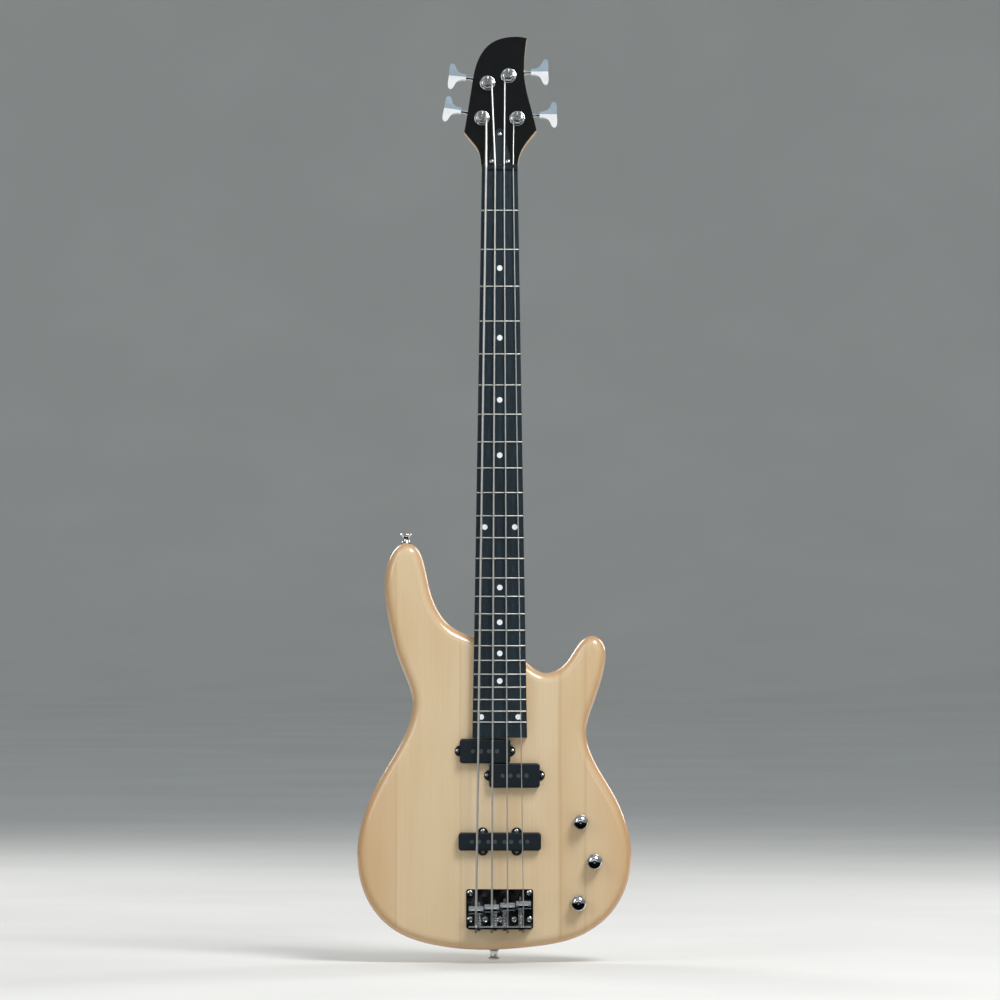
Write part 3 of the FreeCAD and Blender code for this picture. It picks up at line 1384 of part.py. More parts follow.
# The front round stays within the turn of the horn tips, which sharpen as the body gets narrower
edge_turn = "min(edge_share * body_width; horn_share * body_width ^ 2 / body_length)"
front_round = softened(
    body_pieces, body_pad, "front_edge", edge_turn,
    lambda edge: edge.BoundBox.ZLength < s.running_gap and edge.BoundBox.ZMax > -s.body_thickness / 2)
softened(
    body_pieces, front_round, "back_edge", "back_share * body_width",
    lambda edge: edge.BoundBox.ZMax < -s.body_thickness + s.running_gap)
heel_pocket = wedge(
    -board_length - s.pocket_gap, -heel_start + s.heel_length, "board_end_width / 2 + pocket_gap",
    board_width(heel_start - s.heel_length) / 2 + s.pocket_gap, "-pocket_depth", "2 * neck_stand")
cavities = [item.cavity for item in pickups.values()]
body_hollows = gather(
    heel_pocket, *cavities, *channels, control_room, control_seat, *pot_holes, *jack_holes, *neck_screws,
    *ferrule_holes, *pickup_screws, *bridge_screws, *control_screws, *button_screws, *button_holes)
node("body", [cut(body_pieces, body_hollows)])

doc.recompute()
for item in doc.Objects:
    if "Invalid" in item.State or "Error" in item.State:
        raise ValueError("%s is not valid: %s" % (item.Name, item.State))
os.makedirs("parts", exist_ok=True)
for label, piece in NODES.items():
    shape = piece.Shape
    if shape.isNull() or not shape.isValid() or not shape.Solids:
        raise ValueError("%s has no valid solid" % label)
    shape.exportStep("parts/%s.step" % label)
print("%d nodes, %d solids" % (len(NODES), sum(len(piece.Shape.Solids) for piece in NODES.values())))
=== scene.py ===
"""Looks of a four-string electric bass guitar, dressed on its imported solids.

Lengths are metres. +Z runs up the neck, the front faces -Y and +X is the treble side.
The zero point is the centre line at the nut, on the plane of the body's front.
"""
import math
import bmesh
import bpy
import numpy as np
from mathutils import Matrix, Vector


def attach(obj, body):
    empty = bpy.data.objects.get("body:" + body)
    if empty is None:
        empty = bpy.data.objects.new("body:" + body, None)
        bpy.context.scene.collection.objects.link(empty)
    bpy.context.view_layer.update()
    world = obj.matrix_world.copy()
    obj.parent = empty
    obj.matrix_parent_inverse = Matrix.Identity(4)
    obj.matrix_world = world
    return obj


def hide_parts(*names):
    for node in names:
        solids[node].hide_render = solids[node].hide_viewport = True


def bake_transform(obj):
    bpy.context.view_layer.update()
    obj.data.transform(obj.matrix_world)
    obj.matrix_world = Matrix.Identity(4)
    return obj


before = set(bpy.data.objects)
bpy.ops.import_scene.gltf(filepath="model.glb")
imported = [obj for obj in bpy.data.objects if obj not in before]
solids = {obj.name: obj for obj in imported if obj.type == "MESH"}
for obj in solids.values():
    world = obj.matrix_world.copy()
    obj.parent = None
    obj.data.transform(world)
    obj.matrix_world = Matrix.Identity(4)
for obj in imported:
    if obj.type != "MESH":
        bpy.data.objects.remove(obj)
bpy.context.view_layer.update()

MM = 0.001
STRINGS = ("e", "a", "d", "g")
FORWARD = (0.0, -1.0, 0.0)
BACKWARD = (0.0, 1.0, 0.0)
UPWARD = (0.0, 0.0, 1.0)
DOWNWARD = (0.0, 0.0, -1.0)
# The headstock leans back: out of its face, and out of its back
TILT = math.radians(10)
HEAD_OUT = (0.0, -math.cos(TILT), math.sin(TILT))
HEAD_BACK = (0.0, math.cos(TILT), -math.sin(TILT))
# Millimetres: the neck's top before the body's front, the body's back, X and Y of the strap buttons
NECK_STAND = 5.0
BODY_BACK = 40.0
HORN_BUTTON = (-109.91, 20.0)
TAIL_BUTTON = (-6.8, 20.0)


# Colours and nodes

def linear(code):
    """sRGB hex to linear light: c / 12.92 up to 0.04045, else ((c + 0.055) / 1.055) ** 2.4."""
    c = np.array([int(code[i:i + 2], 16) for i in (1, 3, 5)]) / 255
    light = np.where(c <= 0.04045, c / 12.92, ((c + 0.055) / 1.055) ** 2.4)
    return (*light.tolist(), 1.0)


def add(tree, kind, inputs=None, stops=None, **settings):
    """Adds one node: settings are its properties, inputs its sockets, each a value or another output."""
    made = tree.nodes.new(kind)
    for name, value in settings.items():
        setattr(made, name, value)
    for name, value in (inputs or {}).items():
        if isinstance(value, bpy.types.NodeSocket):
            tree.links.new(value, made.inputs[name])
        else:
            made.inputs[name].default_value = value
    for place, (position, colour) in enumerate(stops or ()):
        band = made.color_ramp.elements
        stop = band[place] if place < 2 else band.new(position)
        stop.position = position
        stop.color = linear(colour)
    return made


def finish(name, colour, **values):
    """A new material: its shader's own sockets hold what is the same all over."""
    material = bpy.data.materials.new(name)
    material.use_nodes = True
    shader = material.node_tree.nodes["Principled BSDF"]
    shader.inputs["Base Color"].default_value = linear(colour)
    for socket, value in values.items():
        shader.inputs[socket.replace("_", " ")].default_value = value
    return material, material.node_tree, shader


def per_mm(x, y, z):
    """Repeats per metre along each axis, for features of these sizes in millimetres."""
    return (1 / (x * MM), 1 / (y * MM), 1 / (z * MM))


def streaks(tree, sizes, detail, rough=0.5):
    """Noise on Object coordinates, stretched to features of the given sizes in millimetres."""
    place = add(tree, "ShaderNodeTexCoord")
    scaled = add(tree, "ShaderNodeMapping", {"Vector": place.outputs["Object"], "Scale": per_mm(*sizes)})
    return add(tree, "ShaderNodeTexNoise", {"Vector": scaled.outputs["Vector"], "Scale": 1.0,
                                            "Detail": detail, "Roughness": rough})


# Finishes

# Metres: half the span of the plank tones, the wander of the glue lines, and the strings' turns as drawn
PLANK_SPAN = 0.17
GLUE_WANDER = 4 * MM
WRAP_PITCH = 0.9 * MM


def lacquered_basswood():
    """Pale basswood planks glued side by side under clear gloss lacquer.

    The planks differ a little in tone, thin darker lines mark the glue joints, the grain runs
    with the strings, and painted shade makes the rounded edges darker and more orange.
    """
    material, tree, shader = finish("lacquered_basswood", "#D6C09D", Roughness=0.42, IOR=1.5,
                                    Coat_Weight=1.0, Coat_Roughness=0.06, Coat_IOR=1.5)
    place = add(tree, "ShaderNodeTexCoord")
    parts = add(tree, "ShaderNodeSeparateXYZ", {"Vector": place.outputs["Object"]})
    wander = streaks(tree, (60, 60, 260), 1.0)
    bend = add(tree, "ShaderNodeMath", {0: wander.outputs["Fac"], 1: GLUE_WANDER}, operation="MULTIPLY")
    across = add(tree, "ShaderNodeMath", {0: parts.outputs["X"], 1: bend.outputs[0]}, operation="ADD")
    share = add(tree, "ShaderNodeMapRange", {"Value": across.outputs[0], "From Min": -PLANK_SPAN,
                                             "From Max": PLANK_SPAN})
    tones = (
        (0.000, "#CFAE84"), (0.140, "#D5BB96"), (0.148, "#CFB48D"), (0.156, "#D8C09C"), (0.228, "#D6BE99"),
        (0.364, "#D9C3A0"), (0.371, "#D2BA95"), (0.378, "#DAC5A3"), (0.452, "#DCC8A7"), (0.512, "#D6BF9B"),
        (0.600, "#DBC6A4"), (0.705, "#D9C29F"), (0.714, "#CBAF88"), (0.723, "#D5BC97"), (0.792, "#D6BE99"),
        (0.801, "#CFB48D"), (0.810, "#D8BF9A"), (1.000, "#CFAE84"),
    )
    planks = add(tree, "ShaderNodeValToRGB", {"Fac": share.outputs["Result"]}, stops=tones)
    grain = streaks(tree, (2.6, 2.6, 130), 5.0, 0.62)
    lines = add(tree, "ShaderNodeValToRGB", {"Fac": grain.outputs["Fac"]},
                stops=((0.34, "#E9DFCF"), (0.60, "#FFFFFF")))
    grained = add(tree, "ShaderNodeMix", {0: 0.17, 6: planks.outputs["Color"], 7: lines.outputs["Color"]},
                  data_type="RGBA", blend_type="MULTIPLY")
    clouds = streaks(tree, (55, 55, 240), 2.0)
    cloudy = add(tree, "ShaderNodeValToRGB", {"Fac": clouds.outputs["Fac"]},
                 stops=((0.35, "#EEDFC9"), (0.65, "#FFFFFF")))
    toned = add(tree, "ShaderNodeMix", {0: 0.4, 6: grained.outputs[2], 7: cloudy.outputs["Color"]},
                data_type="RGBA", blend_type="MULTIPLY")
    # Painted shade: the edge ramp and the warm mix turn the rounded edges, where the normal leaves the
    # front, towards a darker orange
    edge_shade_facing = add(tree, "ShaderNodeSeparateXYZ", {"Vector": place.outputs["Normal"]})
    flat = add(tree, "ShaderNodeMath", {0: edge_shade_facing.outputs["Y"]}, operation="ABSOLUTE")
    edge = add(tree, "ShaderNodeValToRGB", {"Fac": flat.outputs[0]},
               stops=((0.0, "#9C9C9C"), (0.999, "#000000"), (0.42, "#DCDCDC"), (0.72, "#C0C0C0")))
    warm = add(tree, "ShaderNodeMix", {0: edge.outputs["Color"], 6: toned.outputs[2], 7: linear("#BC8853")},
               data_type="RGBA")
    tree.links.new(warm.outputs[2], shader.inputs["Base Color"])
    relief = add(tree, "ShaderNodeBump", {"Height": grain.outputs["Fac"], "Strength": 0.06,
                                          "Distance": 0.4 * MM})
    tree.links.new(relief.outputs["Normal"], shader.inputs["Normal"])
    return material


def satin_maple():
    """Quarter-sawn maple under satin lacquer: fine lengthwise grain with short darker flecks."""
    material, tree, shader = finish("satin_maple", "#E3C390", Roughness=0.38, IOR=1.5,
                                    Coat_Weight=0.5, Coat_Roughness=0.2)
    grain = streaks(tree, (1.6, 9, 110), 5.0, 0.6)
    lines = add(tree, "ShaderNodeValToRGB", {"Fac": grain.outputs["Fac"]},
                stops=((0.32, "#CDA56C"), (0.50, "#E0BE8A"), (0.68, "#EACD9C")))
    flecks = streaks(tree, (0.8, 4, 9), 2.0)
    marks = add(tree, "ShaderNodeValToRGB", {"Fac": flecks.outputs["Fac"]},
                stops=((0.30, "#C9A471"), (0.42, "#FFFFFF")))
    both = add(tree, "ShaderNodeMix", {0: 0.3, 6: lines.outputs["Color"], 7: marks.outputs["Color"]},
               data_type="RGBA", blend_type="MULTIPLY")
    tree.links.new(both.outputs[2], shader.inputs["Base Color"])
    relief = add(tree, "ShaderNodeBump", {"Height": grain.outputs["Fac"], "Strength": 0.08,
                                          "Distance": 0.3 * MM})
    tree.links.new(relief.outputs["Normal"], shader.inputs["Normal"])
    return material


def dark_rosewood():
    """Black-stained rosewood, oiled: open pores a few millimetres long, bluish black with brown threads."""
    material, tree, shader = finish("dark_rosewood", "#182831", Roughness=0.5, IOR=1.5,
                                    Specular_IOR_Level=0.35)
    pores = streaks(tree, (0.7, 0.7, 14), 4.0, 0.65)
    tones = add(tree, "ShaderNodeValToRGB", {"Fac": pores.outputs["Fac"]},
                stops=((0.30, "#0C161C"), (0.52, "#182A34"), (0.72, "#243B47")))
    bands = streaks(tree, (5, 5, 160), 3.0)
    shift = add(tree, "ShaderNodeValToRGB", {"Fac": bands.outputs["Fac"]},
                stops=((0.35, "#B4B0AE"), (0.65, "#FFFFFF")))
    both = add(tree, "ShaderNodeMix", {0: 0.6, 6: tones.outputs["Color"], 7: shift.outputs["Color"]},
               data_type="RGBA", blend_type="MULTIPLY")
    tree.links.new(both.outputs[2], shader.inputs["Base Color"])
    shine = add(tree, "ShaderNodeMapRange", {"Value": pores.outputs["Fac"], "To Min": 0.62, "To Max": 0.4})
    tree.links.new(shine.outputs["Result"], shader.inputs["Roughness"])
    relief = add(tree, "ShaderNodeBump", {"Height": pores.outputs["Fac"], "Strength": 0.2,
                                          "Distance": 0.3 * MM})
    tree.links.new(relief.outputs["Normal"], shader.inputs["Normal"])
    return material


def black_lacquer():
    """Polished black lacquer: deep black with a hard clear coat and a trace of orange peel."""
    material, tree, shader = finish("black_lacquer", "#080A0B", Roughness=0.3, IOR=1.5,
                                    Specular_IOR_Level=0.0, Coat_Weight=1.0, Coat_Roughness=0.05)
    peel = streaks(tree, (3, 3, 3), 1.0)
    tones = add(tree, "ShaderNodeValToRGB", {"Fac": peel.outputs["Fac"]},
                stops=((0.35, "#060708"), (0.65, "#0A0C0E")))
    tree.links.new(tones.outputs["Color"], shader.inputs["Base Color"])
    relief = add(tree, "ShaderNodeBump", {"Height": peel.outputs["Fac"], "Strength": 0.03,
                                          "Distance": 0.1 * MM})
    tree.links.new(relief.outputs["Normal"], shader.inputs["Coat Normal"])
    return material


def moulded_plastic():
    """Moulded black ABS: bluish black, a fine spark-eroded grain drawn at 0.5 mm so that it shows."""
    material, tree, shader = finish("moulded_plastic", "#14212A", Roughness=0.42, IOR=1.53,
                                    Specular_IOR_Level=0.3)
    grit = streaks(tree, (0.5, 0.5, 0.5), 2.0)
    tones = add(tree, "ShaderNodeValToRGB", {"Fac": grit.outputs["Fac"]},
                stops=((0.30, "#0D171D"), (0.70, "#17242C")))
    tree.links.new(tones.outputs["Color"], shader.inputs["Base Color"])
    smear = streaks(tree, (30, 30, 45), 2.0)
    shine = add(tree, "ShaderNodeMapRange", {"Value": smear.outputs["Fac"], "To Min": 0.32, "To Max": 0.5})
    tree.links.new(shine.outputs["Result"], shader.inputs["Roughness"])
    relief = add(tree, "ShaderNodeBump", {"Height": grit.outputs["Fac"], "Strength": 0.1,
                                          "Distance": 0.1 * MM})
    tree.links.new(relief.outputs["Normal"], shader.inputs["Normal"])
    return material


def chrome_plate():
    """Bright chrome plate on polished castings: nearly a mirror, with faint polishing haze."""
    material, tree, shader = finish("chrome_plate", "#DDE0E2", Metallic=1.0, Roughness=0.07)
    haze = streaks(tree, (9, 9, 9), 3.0)
    shine = add(tree, "ShaderNodeMapRange", {"Value": haze.outputs["Fac"], "From Min": 0.35, "From Max": 0.7,
                                             "To Min": 0.04, "To Max": 0.12})
    tree.links.new(shine.outputs["Result"], shader.inputs["Roughness"])
    tones = add(tree, "ShaderNodeValToRGB", {"Fac": haze.outputs["Fac"]},
                stops=((0.30, "#D3D6D9"), (0.70, "#E4E6E8")))
    tree.links.new(tones.outputs["Color"], shader.inputs["Base Color"])
    return material


def nickel_plate():
    """Bright nickel plate of the screws: paler and a little duller than chrome, with fine handling marks."""
    material, tree, shader = finish("nickel_plate", "#DAD9D5", Metallic=1.0, Roughness=0.2)
    marks = streaks(tree, (0.8, 0.8, 0.8), 3.0)
    tones = add(tree, "ShaderNodeValToRGB", {"Fac": marks.outputs["Fac"]},
                stops=((0.30, "#C9C8C4"), (0.70, "#E6E5E1")))
    tree.links.new(tones.outputs["Color"], shader.inputs["Base Color"])
    shine = add(tree, "ShaderNodeMapRange", {"Value": marks.outputs["Fac"], "To Min": 0.14, "To Max": 0.3})
    tree.links.new(shine.outputs["Result"], shader.inputs["Roughness"])
    return material


def turned_steel():
    """Plain turned steel of screws and saddles: grey, with fine rings and a duller shine than chrome."""
    material, tree, shader = finish("turned_steel", "#B5B7B8", Metallic=1.0, Roughness=0.25)
    wear = streaks(tree, (1.5, 1.5, 1.5), 3.0)
    tones = add(tree, "ShaderNodeValToRGB", {"Fac": wear.outputs["Fac"]},
                stops=((0.30, "#9A9C9E"), (0.70, "#C6C8C9")))
    tree.links.new(tones.outputs["Color"], shader.inputs["Base Color"])
    shine = add(tree, "ShaderNodeMapRange", {"Value": wear.outputs["Fac"], "To Min": 0.18, "To Max": 0.36})
    tree.links.new(shine.outputs["Result"], shader.inputs["Roughness"])
    return material


def ground_steel():
    """Ground magnet steel of the pole ends: grey and dull, with fine scratches across."""
    material, tree, shader = finish("ground_steel", "#72787C", Metallic=1.0, Roughness=0.42)
    scratch = streaks(tree, (4, 4, 0.4), 3.0)
    tones = add(tree, "ShaderNodeValToRGB", {"Fac": scratch.outputs["Fac"]},
                stops=((0.30, "#5E6468"), (0.70, "#868C90")))
    tree.links.new(tones.outputs["Color"], shader.inputs["Base Color"])
    shine = add(tree, "ShaderNodeMapRange", {"Value": scratch.outputs["Fac"], "To Min": 0.3, "To Max": 0.55})
    tree.links.new(shine.outputs["Result"], shader.inputs["Roughness"])
    return material


def wound_steel():
    """Round-wound steel strings: the turns of the wrap wire, 0.45 mm apart, drawn at 0.9 mm so they show."""
    material, tree, shader = finish("wound_steel", "#ECECE8", Metallic=1.0, Roughness=0.45)
    place = add(tree, "ShaderNodeTexCoord")
    parts = add(tree, "ShaderNodeSeparateXYZ", {"Vector": place.outputs["Object"]})
    turns = add(tree, "ShaderNodeMath", {0: parts.outputs["Z"], 1: 2 * math.pi / WRAP_PITCH},
                operation="MULTIPLY")
    ribs_and_groove_shade = add(tree, "ShaderNodeMath", {0: turns.outputs[0]}, operation="SINE")
    share = add(tree, "ShaderNodeMapRange", {"Value": ribs_and_groove_shade.outputs[0], "From Min": -1.0})
    # Painted shade: the colour runs darker in the grooves between the turns, where the bump is low, and
    # paler on their crowns
    tones = add(tree, "ShaderNodeValToRGB", {"Fac": share.outputs["Result"]},
                stops=((0.0, "#D2D2CF"), (1.0, "#F7F7F4")))
    tree.links.new(tones.outputs["Color"], shader.inputs["Base Color"])
    relief = add(tree, "ShaderNodeBump", {"Height": share.outputs["Result"], "Strength": 0.2,
                                          "Distance": 0.2 * MM})
    tree.links.new(relief.outputs["Normal"], shader.inputs["Normal"])
    return material


def nickel_silver():
    """Drawn nickel-silver fret wire: warm pale metal, polished along its crown."""
    material, tree, shader = finish("nickel_silver", "#E6E3DA", Metallic=1.0, Roughness=0.38)
    rub = streaks(tree, (3, 1.2, 1.2), 2.0)
    tones = add(tree, "ShaderNodeValToRGB", {"Fac": rub.outputs["Fac"]},
                stops=((0.30, "#D6D2C8"), (0.70, "#F2EFE8")))
    tree.links.new(tones.outputs["Color"], shader.inputs["Base Color"])
    return material


def pearl_plastic():
    """White acrylic inlay: near white with a soft cloudy shimmer."""
    material, tree, shader = finish("pearl_plastic", "#EEF1F2", Roughness=0.25, IOR=1.49)
    cloud = streaks(tree, (2.2, 2.2, 2.2), 2.0)
    tones = add(tree, "ShaderNodeValToRGB", {"Fac": cloud.outputs["Fac"]},
                stops=((0.30, "#DCE1E4"), (0.70, "#F8FAFA")))
    tree.links.new(tones.outputs["Color"], shader.inputs["Base Color"])
    return material


def pressed_felt():
    """Pressed black wool felt: dull, fuzzy and uneven, with a soft sheen."""
    material, tree, shader = finish("pressed_felt", "#17171A", Roughness=0.95, Sheen_Weight=0.4,
                                    Sheen_Roughness=0.5)
    wool = streaks(tree, (0.6, 0.6, 0.6), 4.0, 0.7)
    tones = add(tree, "ShaderNodeValToRGB", {"Fac": wool.outputs["Fac"]},
                stops=((0.30, "#0E0E10"), (0.70, "#26262A")))
    tree.links.new(tones.outputs["Color"], shader.inputs["Base Color"])
    relief = add(tree, "ShaderNodeBump", {"Height": wool.outputs["Fac"], "Strength": 0.8,
                                          "Distance": 0.4 * MM})
    tree.links.new(relief.outputs["Normal"], shader.inputs["Normal"])
    return material


def enamelled_copper():
    """Enamelled copper wire wound on the bobbins: brownish red, in fine turns."""
    material, tree, shader = finish("enamelled_copper", "#8A3F22", Metallic=0.7, Roughness=0.35)
    turns = streaks(tree, (8, 0.3, 8), 1.0)
    tones = add(tree, "ShaderNodeValToRGB", {"Fac": turns.outputs["Fac"]},
                stops=((0.30, "#6B2D17"), (0.70, "#A4512F")))
    tree.links.new(tones.outputs["Color"], shader.inputs["Base Color"])
    return material


def grey_foam():
    """Soft grey polyurethane foam under the pickups: matt, with open cells about a millimetre wide."""
    material, tree, shader = finish("grey_foam", "#4A4A4C", Roughness=0.95)
    cells = streaks(tree, (1.0, 1.0, 1.0), 3.0)
    tones = add(tree, "ShaderNodeValToRGB", {"Fac": cells.outputs["Fac"]},
                stops=((0.35, "#2C2C2E"), (0.65, "#5C5C5E")))
    tree.links.new(tones.outputs["Color"], shader.inputs["Base Color"])
    return material


def hookup_leads():
    """Plastic-covered hook-up wire: dull dark grey with slight colour change along its length."""
    material, tree, shader = finish("hookup_leads", "#2A2B2D", Roughness=0.5)
    shade = streaks(tree, (12, 12, 12), 1.0)
    tones = add(tree, "ShaderNodeValToRGB", {"Fac": shade.outputs["Fac"]},
                stops=((0.35, "#222325"), (0.65, "#353638")))
    tree.links.new(tones.outputs["Color"], shader.inputs["Base Color"])
    return material


def pressed_zinc():
    """Pressed zinc-plated steel of the control cans: cool grey, with spangles a few millimetres wide."""
    material, tree, shader = finish("pressed_zinc", "#9FA3A6", Metallic=1.0, Roughness=0.4)
    spangle = streaks(tree, (4, 4, 4), 2.0)
    tones = add(tree, "ShaderNodeValToRGB", {"Fac": spangle.outputs["Fac"]},
                stops=((0.35, "#8B8F92"), (0.65, "#B2B6B9")))
    tree.links.new(tones.outputs["Color"], shader.inputs["Base Color"])
    return material


BODY_WOOD = lacquered_basswood()
MAPLE = satin_maple()
ROSEWOOD = dark_rosewood()
LACQUER = black_lacquer()
PLASTIC = moulded_plastic()
CHROME = chrome_plate()
STEEL = turned_steel()
WOUND = wound_steel()
FRET_WIRE = nickel_silver()
PEARL = pearl_plastic()
FELT = pressed_felt()
FOAM = grey_foam()
SCREW_PLATE = nickel_plate()
POLE_STEEL = ground_steel()

# Solids that new pieces replace further down aren't listed
DRESSED = (
    (BODY_WOOD, ("body",)),
    (MAPLE, ("neck",)),
    (ROSEWOOD, ("fingerboard",)),
    (LACQUER, ("headstock_veneer",)),
    (PLASTIC, ("truss_rod_cover", "nut", "split_pickup_cover_low", "split_pickup_cover_high",
               "bridge_pickup_cover", "pickup_bobbins", "control_cover")),
    (CHROME, ("bridge_plate", "strap_buttons", "tone_knob", "neck_volume_knob", "bridge_volume_knob",
              "tuner_housings", "neck_ferrules", "jack_plate", "control_nuts", "output_jack")),
    (CHROME, tuple(piece + n for piece in ("tuner_key_", "string_post_", "saddle_") for n in STRINGS)),
    (STEEL, tuple("saddle_height_screws_" + n for n in STRINGS) + ("intonation_screws", "truss_rod")),
    (POLE_STEEL, ("pickup_poles",)),
    (WOUND, tuple("string_" + n for n in STRINGS)),
    (FRET_WIRE, ("frets",)),
    (PEARL, ("position_dots",)),
    (enamelled_copper(), ("pickup_coils",)),
    (hookup_leads(), ("wiring",)),
    (pressed_zinc(), ("potentiometers",)),
)
for material, names in DRESSED:
    for name in names:
        solids[name].data.materials.clear()
        solids[name].data.materials.append(material)

# Surfaces

WELD = 0.000001
CREASE = math.radians(40)
ROUND = np.linspace(0, 2 * math.pi, 48, endpoint=False)


def grid_mesh(name, points, material, round_columns=True, round_rows=False):
    """Mesh of grids of points, count by rows by columns: each cell is one face.

    Columns or rows may be joined end to start. Points that fall together become one, so a row
    of radius nought is a closed pole.
    """
    points = points.reshape(-1, *points.shape[-3:])
    count, rows, columns = points.shape[:3]
    grid, row, column = np.meshgrid(np.arange(count), np.arange(rows if round_rows else rows - 1),
                                    np.arange(columns if round_columns else columns - 1), indexing="ij")
    start = grid * rows * columns
    below = start + (row + 1) % rows * columns
    above = start + row * columns
    after = (column + 1) % columns
    corners = np.stack([above + column, below + column, below + after, above + after], axis=-1)
    mesh = bpy.data.meshes.new(name)
    mesh.from_pydata(points.reshape(-1, 3).tolist(), [], corners.reshape(-1, 4).tolist())
    welded = bmesh.new()
    welded.from_mesh(mesh)
    bmesh.ops.remove_doubles(welded, verts=welded.verts, dist=WELD)
    bmesh.ops.recalc_face_normals(welded, faces=welded.faces)
    welded.to_mesh(mesh)
    welded.free()
    mesh.polygons.foreach_set("use_smooth", np.ones(len(mesh.polygons), bool))
    mesh.set_sharp_from_angle(angle=CREASE)
    mesh.materials.append(material)
    made = bpy.data.objects.new(name, mesh)
    bpy.context.scene.collection.objects.link(made)
    return made


def turned(radii, rises, centre, out):
    """Rows of rings about an axis, in millimetres: centre + radius * (cos side + sin up) + rise * out."""
    out = np.array(out) / np.linalg.norm(out)
    side = np.cross(out, UPWARD if abs(out[2]) < 0.9 else (1.0, 0.0, 0.0))
    side = side / np.linalg.norm(side)
    up = np.cross(out, side)
    ring = np.cos(ROUND)[:, None] * side + np.sin(ROUND)[:, None] * up
    return MM * (np.array(centre) + radii[..., None] * ring + rises[..., None] * out)


# Screws with crossed slots

# Shares of a head's radius or height: the slot's reach, foot and depth, the crown's edge, and its fall
SLOT_HALF = math.tan(math.radians(15))
SLOT_REACH = 0.66
SLOT_FOOT = 0.7
SLOT_DEPTH = 0.62
CROWN_EDGE = 0.97
CROWN_RINGS = 6
DOME_FALL = 0.5
FLUSH_FALL = 0.02
RIM_FALL = 1.15


def cross_head_screw(top, out, head, height, shank, length, flush):
    """One screw as rings about its axis, from the floor of its slot over the head to its tip.

    The slot is the further of two crossed bars along each ray, a bar being the nearer of its end,
    1 / cos, and its side, tan 15 / sin. The head falls off with the square of the radius; a flush
    one is flat and tapers to the shank.
    """
    cosine = np.maximum(np.abs(np.cos(ROUND)), WELD)
    sine = np.maximum(np.abs(np.sin(ROUND)), WELD)
    bars = np.maximum(np.minimum(1 / cosine, SLOT_HALF / sine), np.minimum(SLOT_HALF / cosine, 1 / sine))
    slot = SLOT_REACH * head * bars
    whole = np.ones_like(ROUND)
    fall = (FLUSH_FALL if flush else DOME_FALL) * height
    crown = slot + np.linspace(0, 1, CROWN_RINGS)[:, None] * (CROWN_EDGE * head * whole - slot)
    under = shank if flush else head
    radii = np.vstack([0 * whole, SLOT_FOOT * slot, crown, head * whole, under * whole, shank * whole,
                       shank * whole, 0 * whole])
    low = -SLOT_DEPTH * height * whole
    rises = np.vstack([low, low, -fall * (crown / head) ** 2, -RIM_FALL * fall * whole, -height * whole,
                       -height * whole, (2 * shank - length) * whole, -length * whole])
    return turned(radii, rises, top, out)


def screw_set(name, node, screws):
    """All screws of one node, in its place."""
    piece = grid_mesh(name, np.stack([cross_head_screw(*screw) for screw in screws]), SCREW_PLATE)
    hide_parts(node)
    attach(piece, "bass")


# Kinds of screw, in millimetres: radius and height of the head, radius of the shank, length, flush or not
BRIDGE_SCREW = (3.2, 2.0, 1.7, 22.0, False)
STRAP_SCREW = (4.4, 2.2, 2.2, 39.1, True)
PICKUP_SCREW = (2.5, 1.6, 1.5, 30.6, False)
COVER_SCREW = (2.5, 1.4, 1.3, 9.0, True)
TRUSS_SCREW = (2.5, 1.4, 1.3, 12.2, False)
HOUSING_SCREW = (2.5, 1.4, 1.3, 12.9, False)
NECK_SCREW = (4.6, 4.0, 2.4, 37.0, True)
# Y of the tops of the heads on the bridge plate and on the pickups
BRIDGE_HEADS = -4.2
PICKUP_HEADS = -2.6
screw_set("bridge_and_strap_cross_screws", "bridge_and_strap_screws", [
    ((x, BRIDGE_HEADS, z), FORWARD, *BRIDGE_SCREW)
    for x, z in ((34.9, -847.6), (-34.9, -847.6), (34.9, -878.7), (17.0, -878.7), (0.0, -878.7),
                 (-17.0, -878.7), (-34.9, -878.7))
] + [
    ((*HORN_BUTTON, -426.5), UPWARD, *STRAP_SCREW),
    ((*TAIL_BUTTON, -926.6), DOWNWARD, *STRAP_SCREW),
])
screw_set("pickup_cross_screws", "pickup_screws", [
    ((x, PICKUP_HEADS, z), FORWARD, *PICKUP_SCREW)
    for x, z in ((-49.55, -681.6), (14.95, -681.6), (-14.95, -710.2), (49.55, -710.2), (-19.8, -799.85),
                 (-19.8, -775.35), (19.8, -799.85), (19.8, -775.35))
])
screw_set("small_cross_screws", "small_screws", [
    ((x, BODY_BACK, z), BACKWARD, *COVER_SCREW)
    for x, z in ((87.85, -745.01), (84.58, -878.87), (131.87, -811.11), (73.76, -764.85), (71.18, -859.29))
] + [
    ((x, y, z), HEAD_OUT, *TRUSS_SCREW)
    for x, y, z in ((0.0, -0.95, 41.42), (9.5, -6.61, 9.32), (-9.5, -6.61, 9.32))
] + [
    ((x, y, z), HEAD_BACK, *HOUSING_SCREW)
    for x, y, z in ((-22.53, 23.11, 45.99), (-15.22, 30.39, 87.23), (10.49, 31.90, 95.80),
                    (20.56, 22.98, 45.23))
])
screw_set("neck_cross_screws", "neck_screws", [
    ((x, BODY_BACK, z), BACKWARD, *NECK_SCREW)
    for x, z in ((20.0, -650.6), (20.0, -600.6), (-20.0, -650.6), (-20.0, -600.6))
])


# Felt rings, foam pads and string ends

# Powers that square off a round section; how far the felt stays within its solid, and the dip of its faces
FELT_POWER = 0.4
FOAM_POWER = 0.3
FELT_INSET = 0.965
FELT_DIP = 0.03
# Outer and inner radius of a felt ring and its height, in millimetres
FELT_SIZE = (6.0, 2.2, 2.6)


def squared(share, power):
    """Cosine or sine pushed out towards a square: its sign times its size to a power below one."""
    return np.sign(share) * np.abs(share) ** power


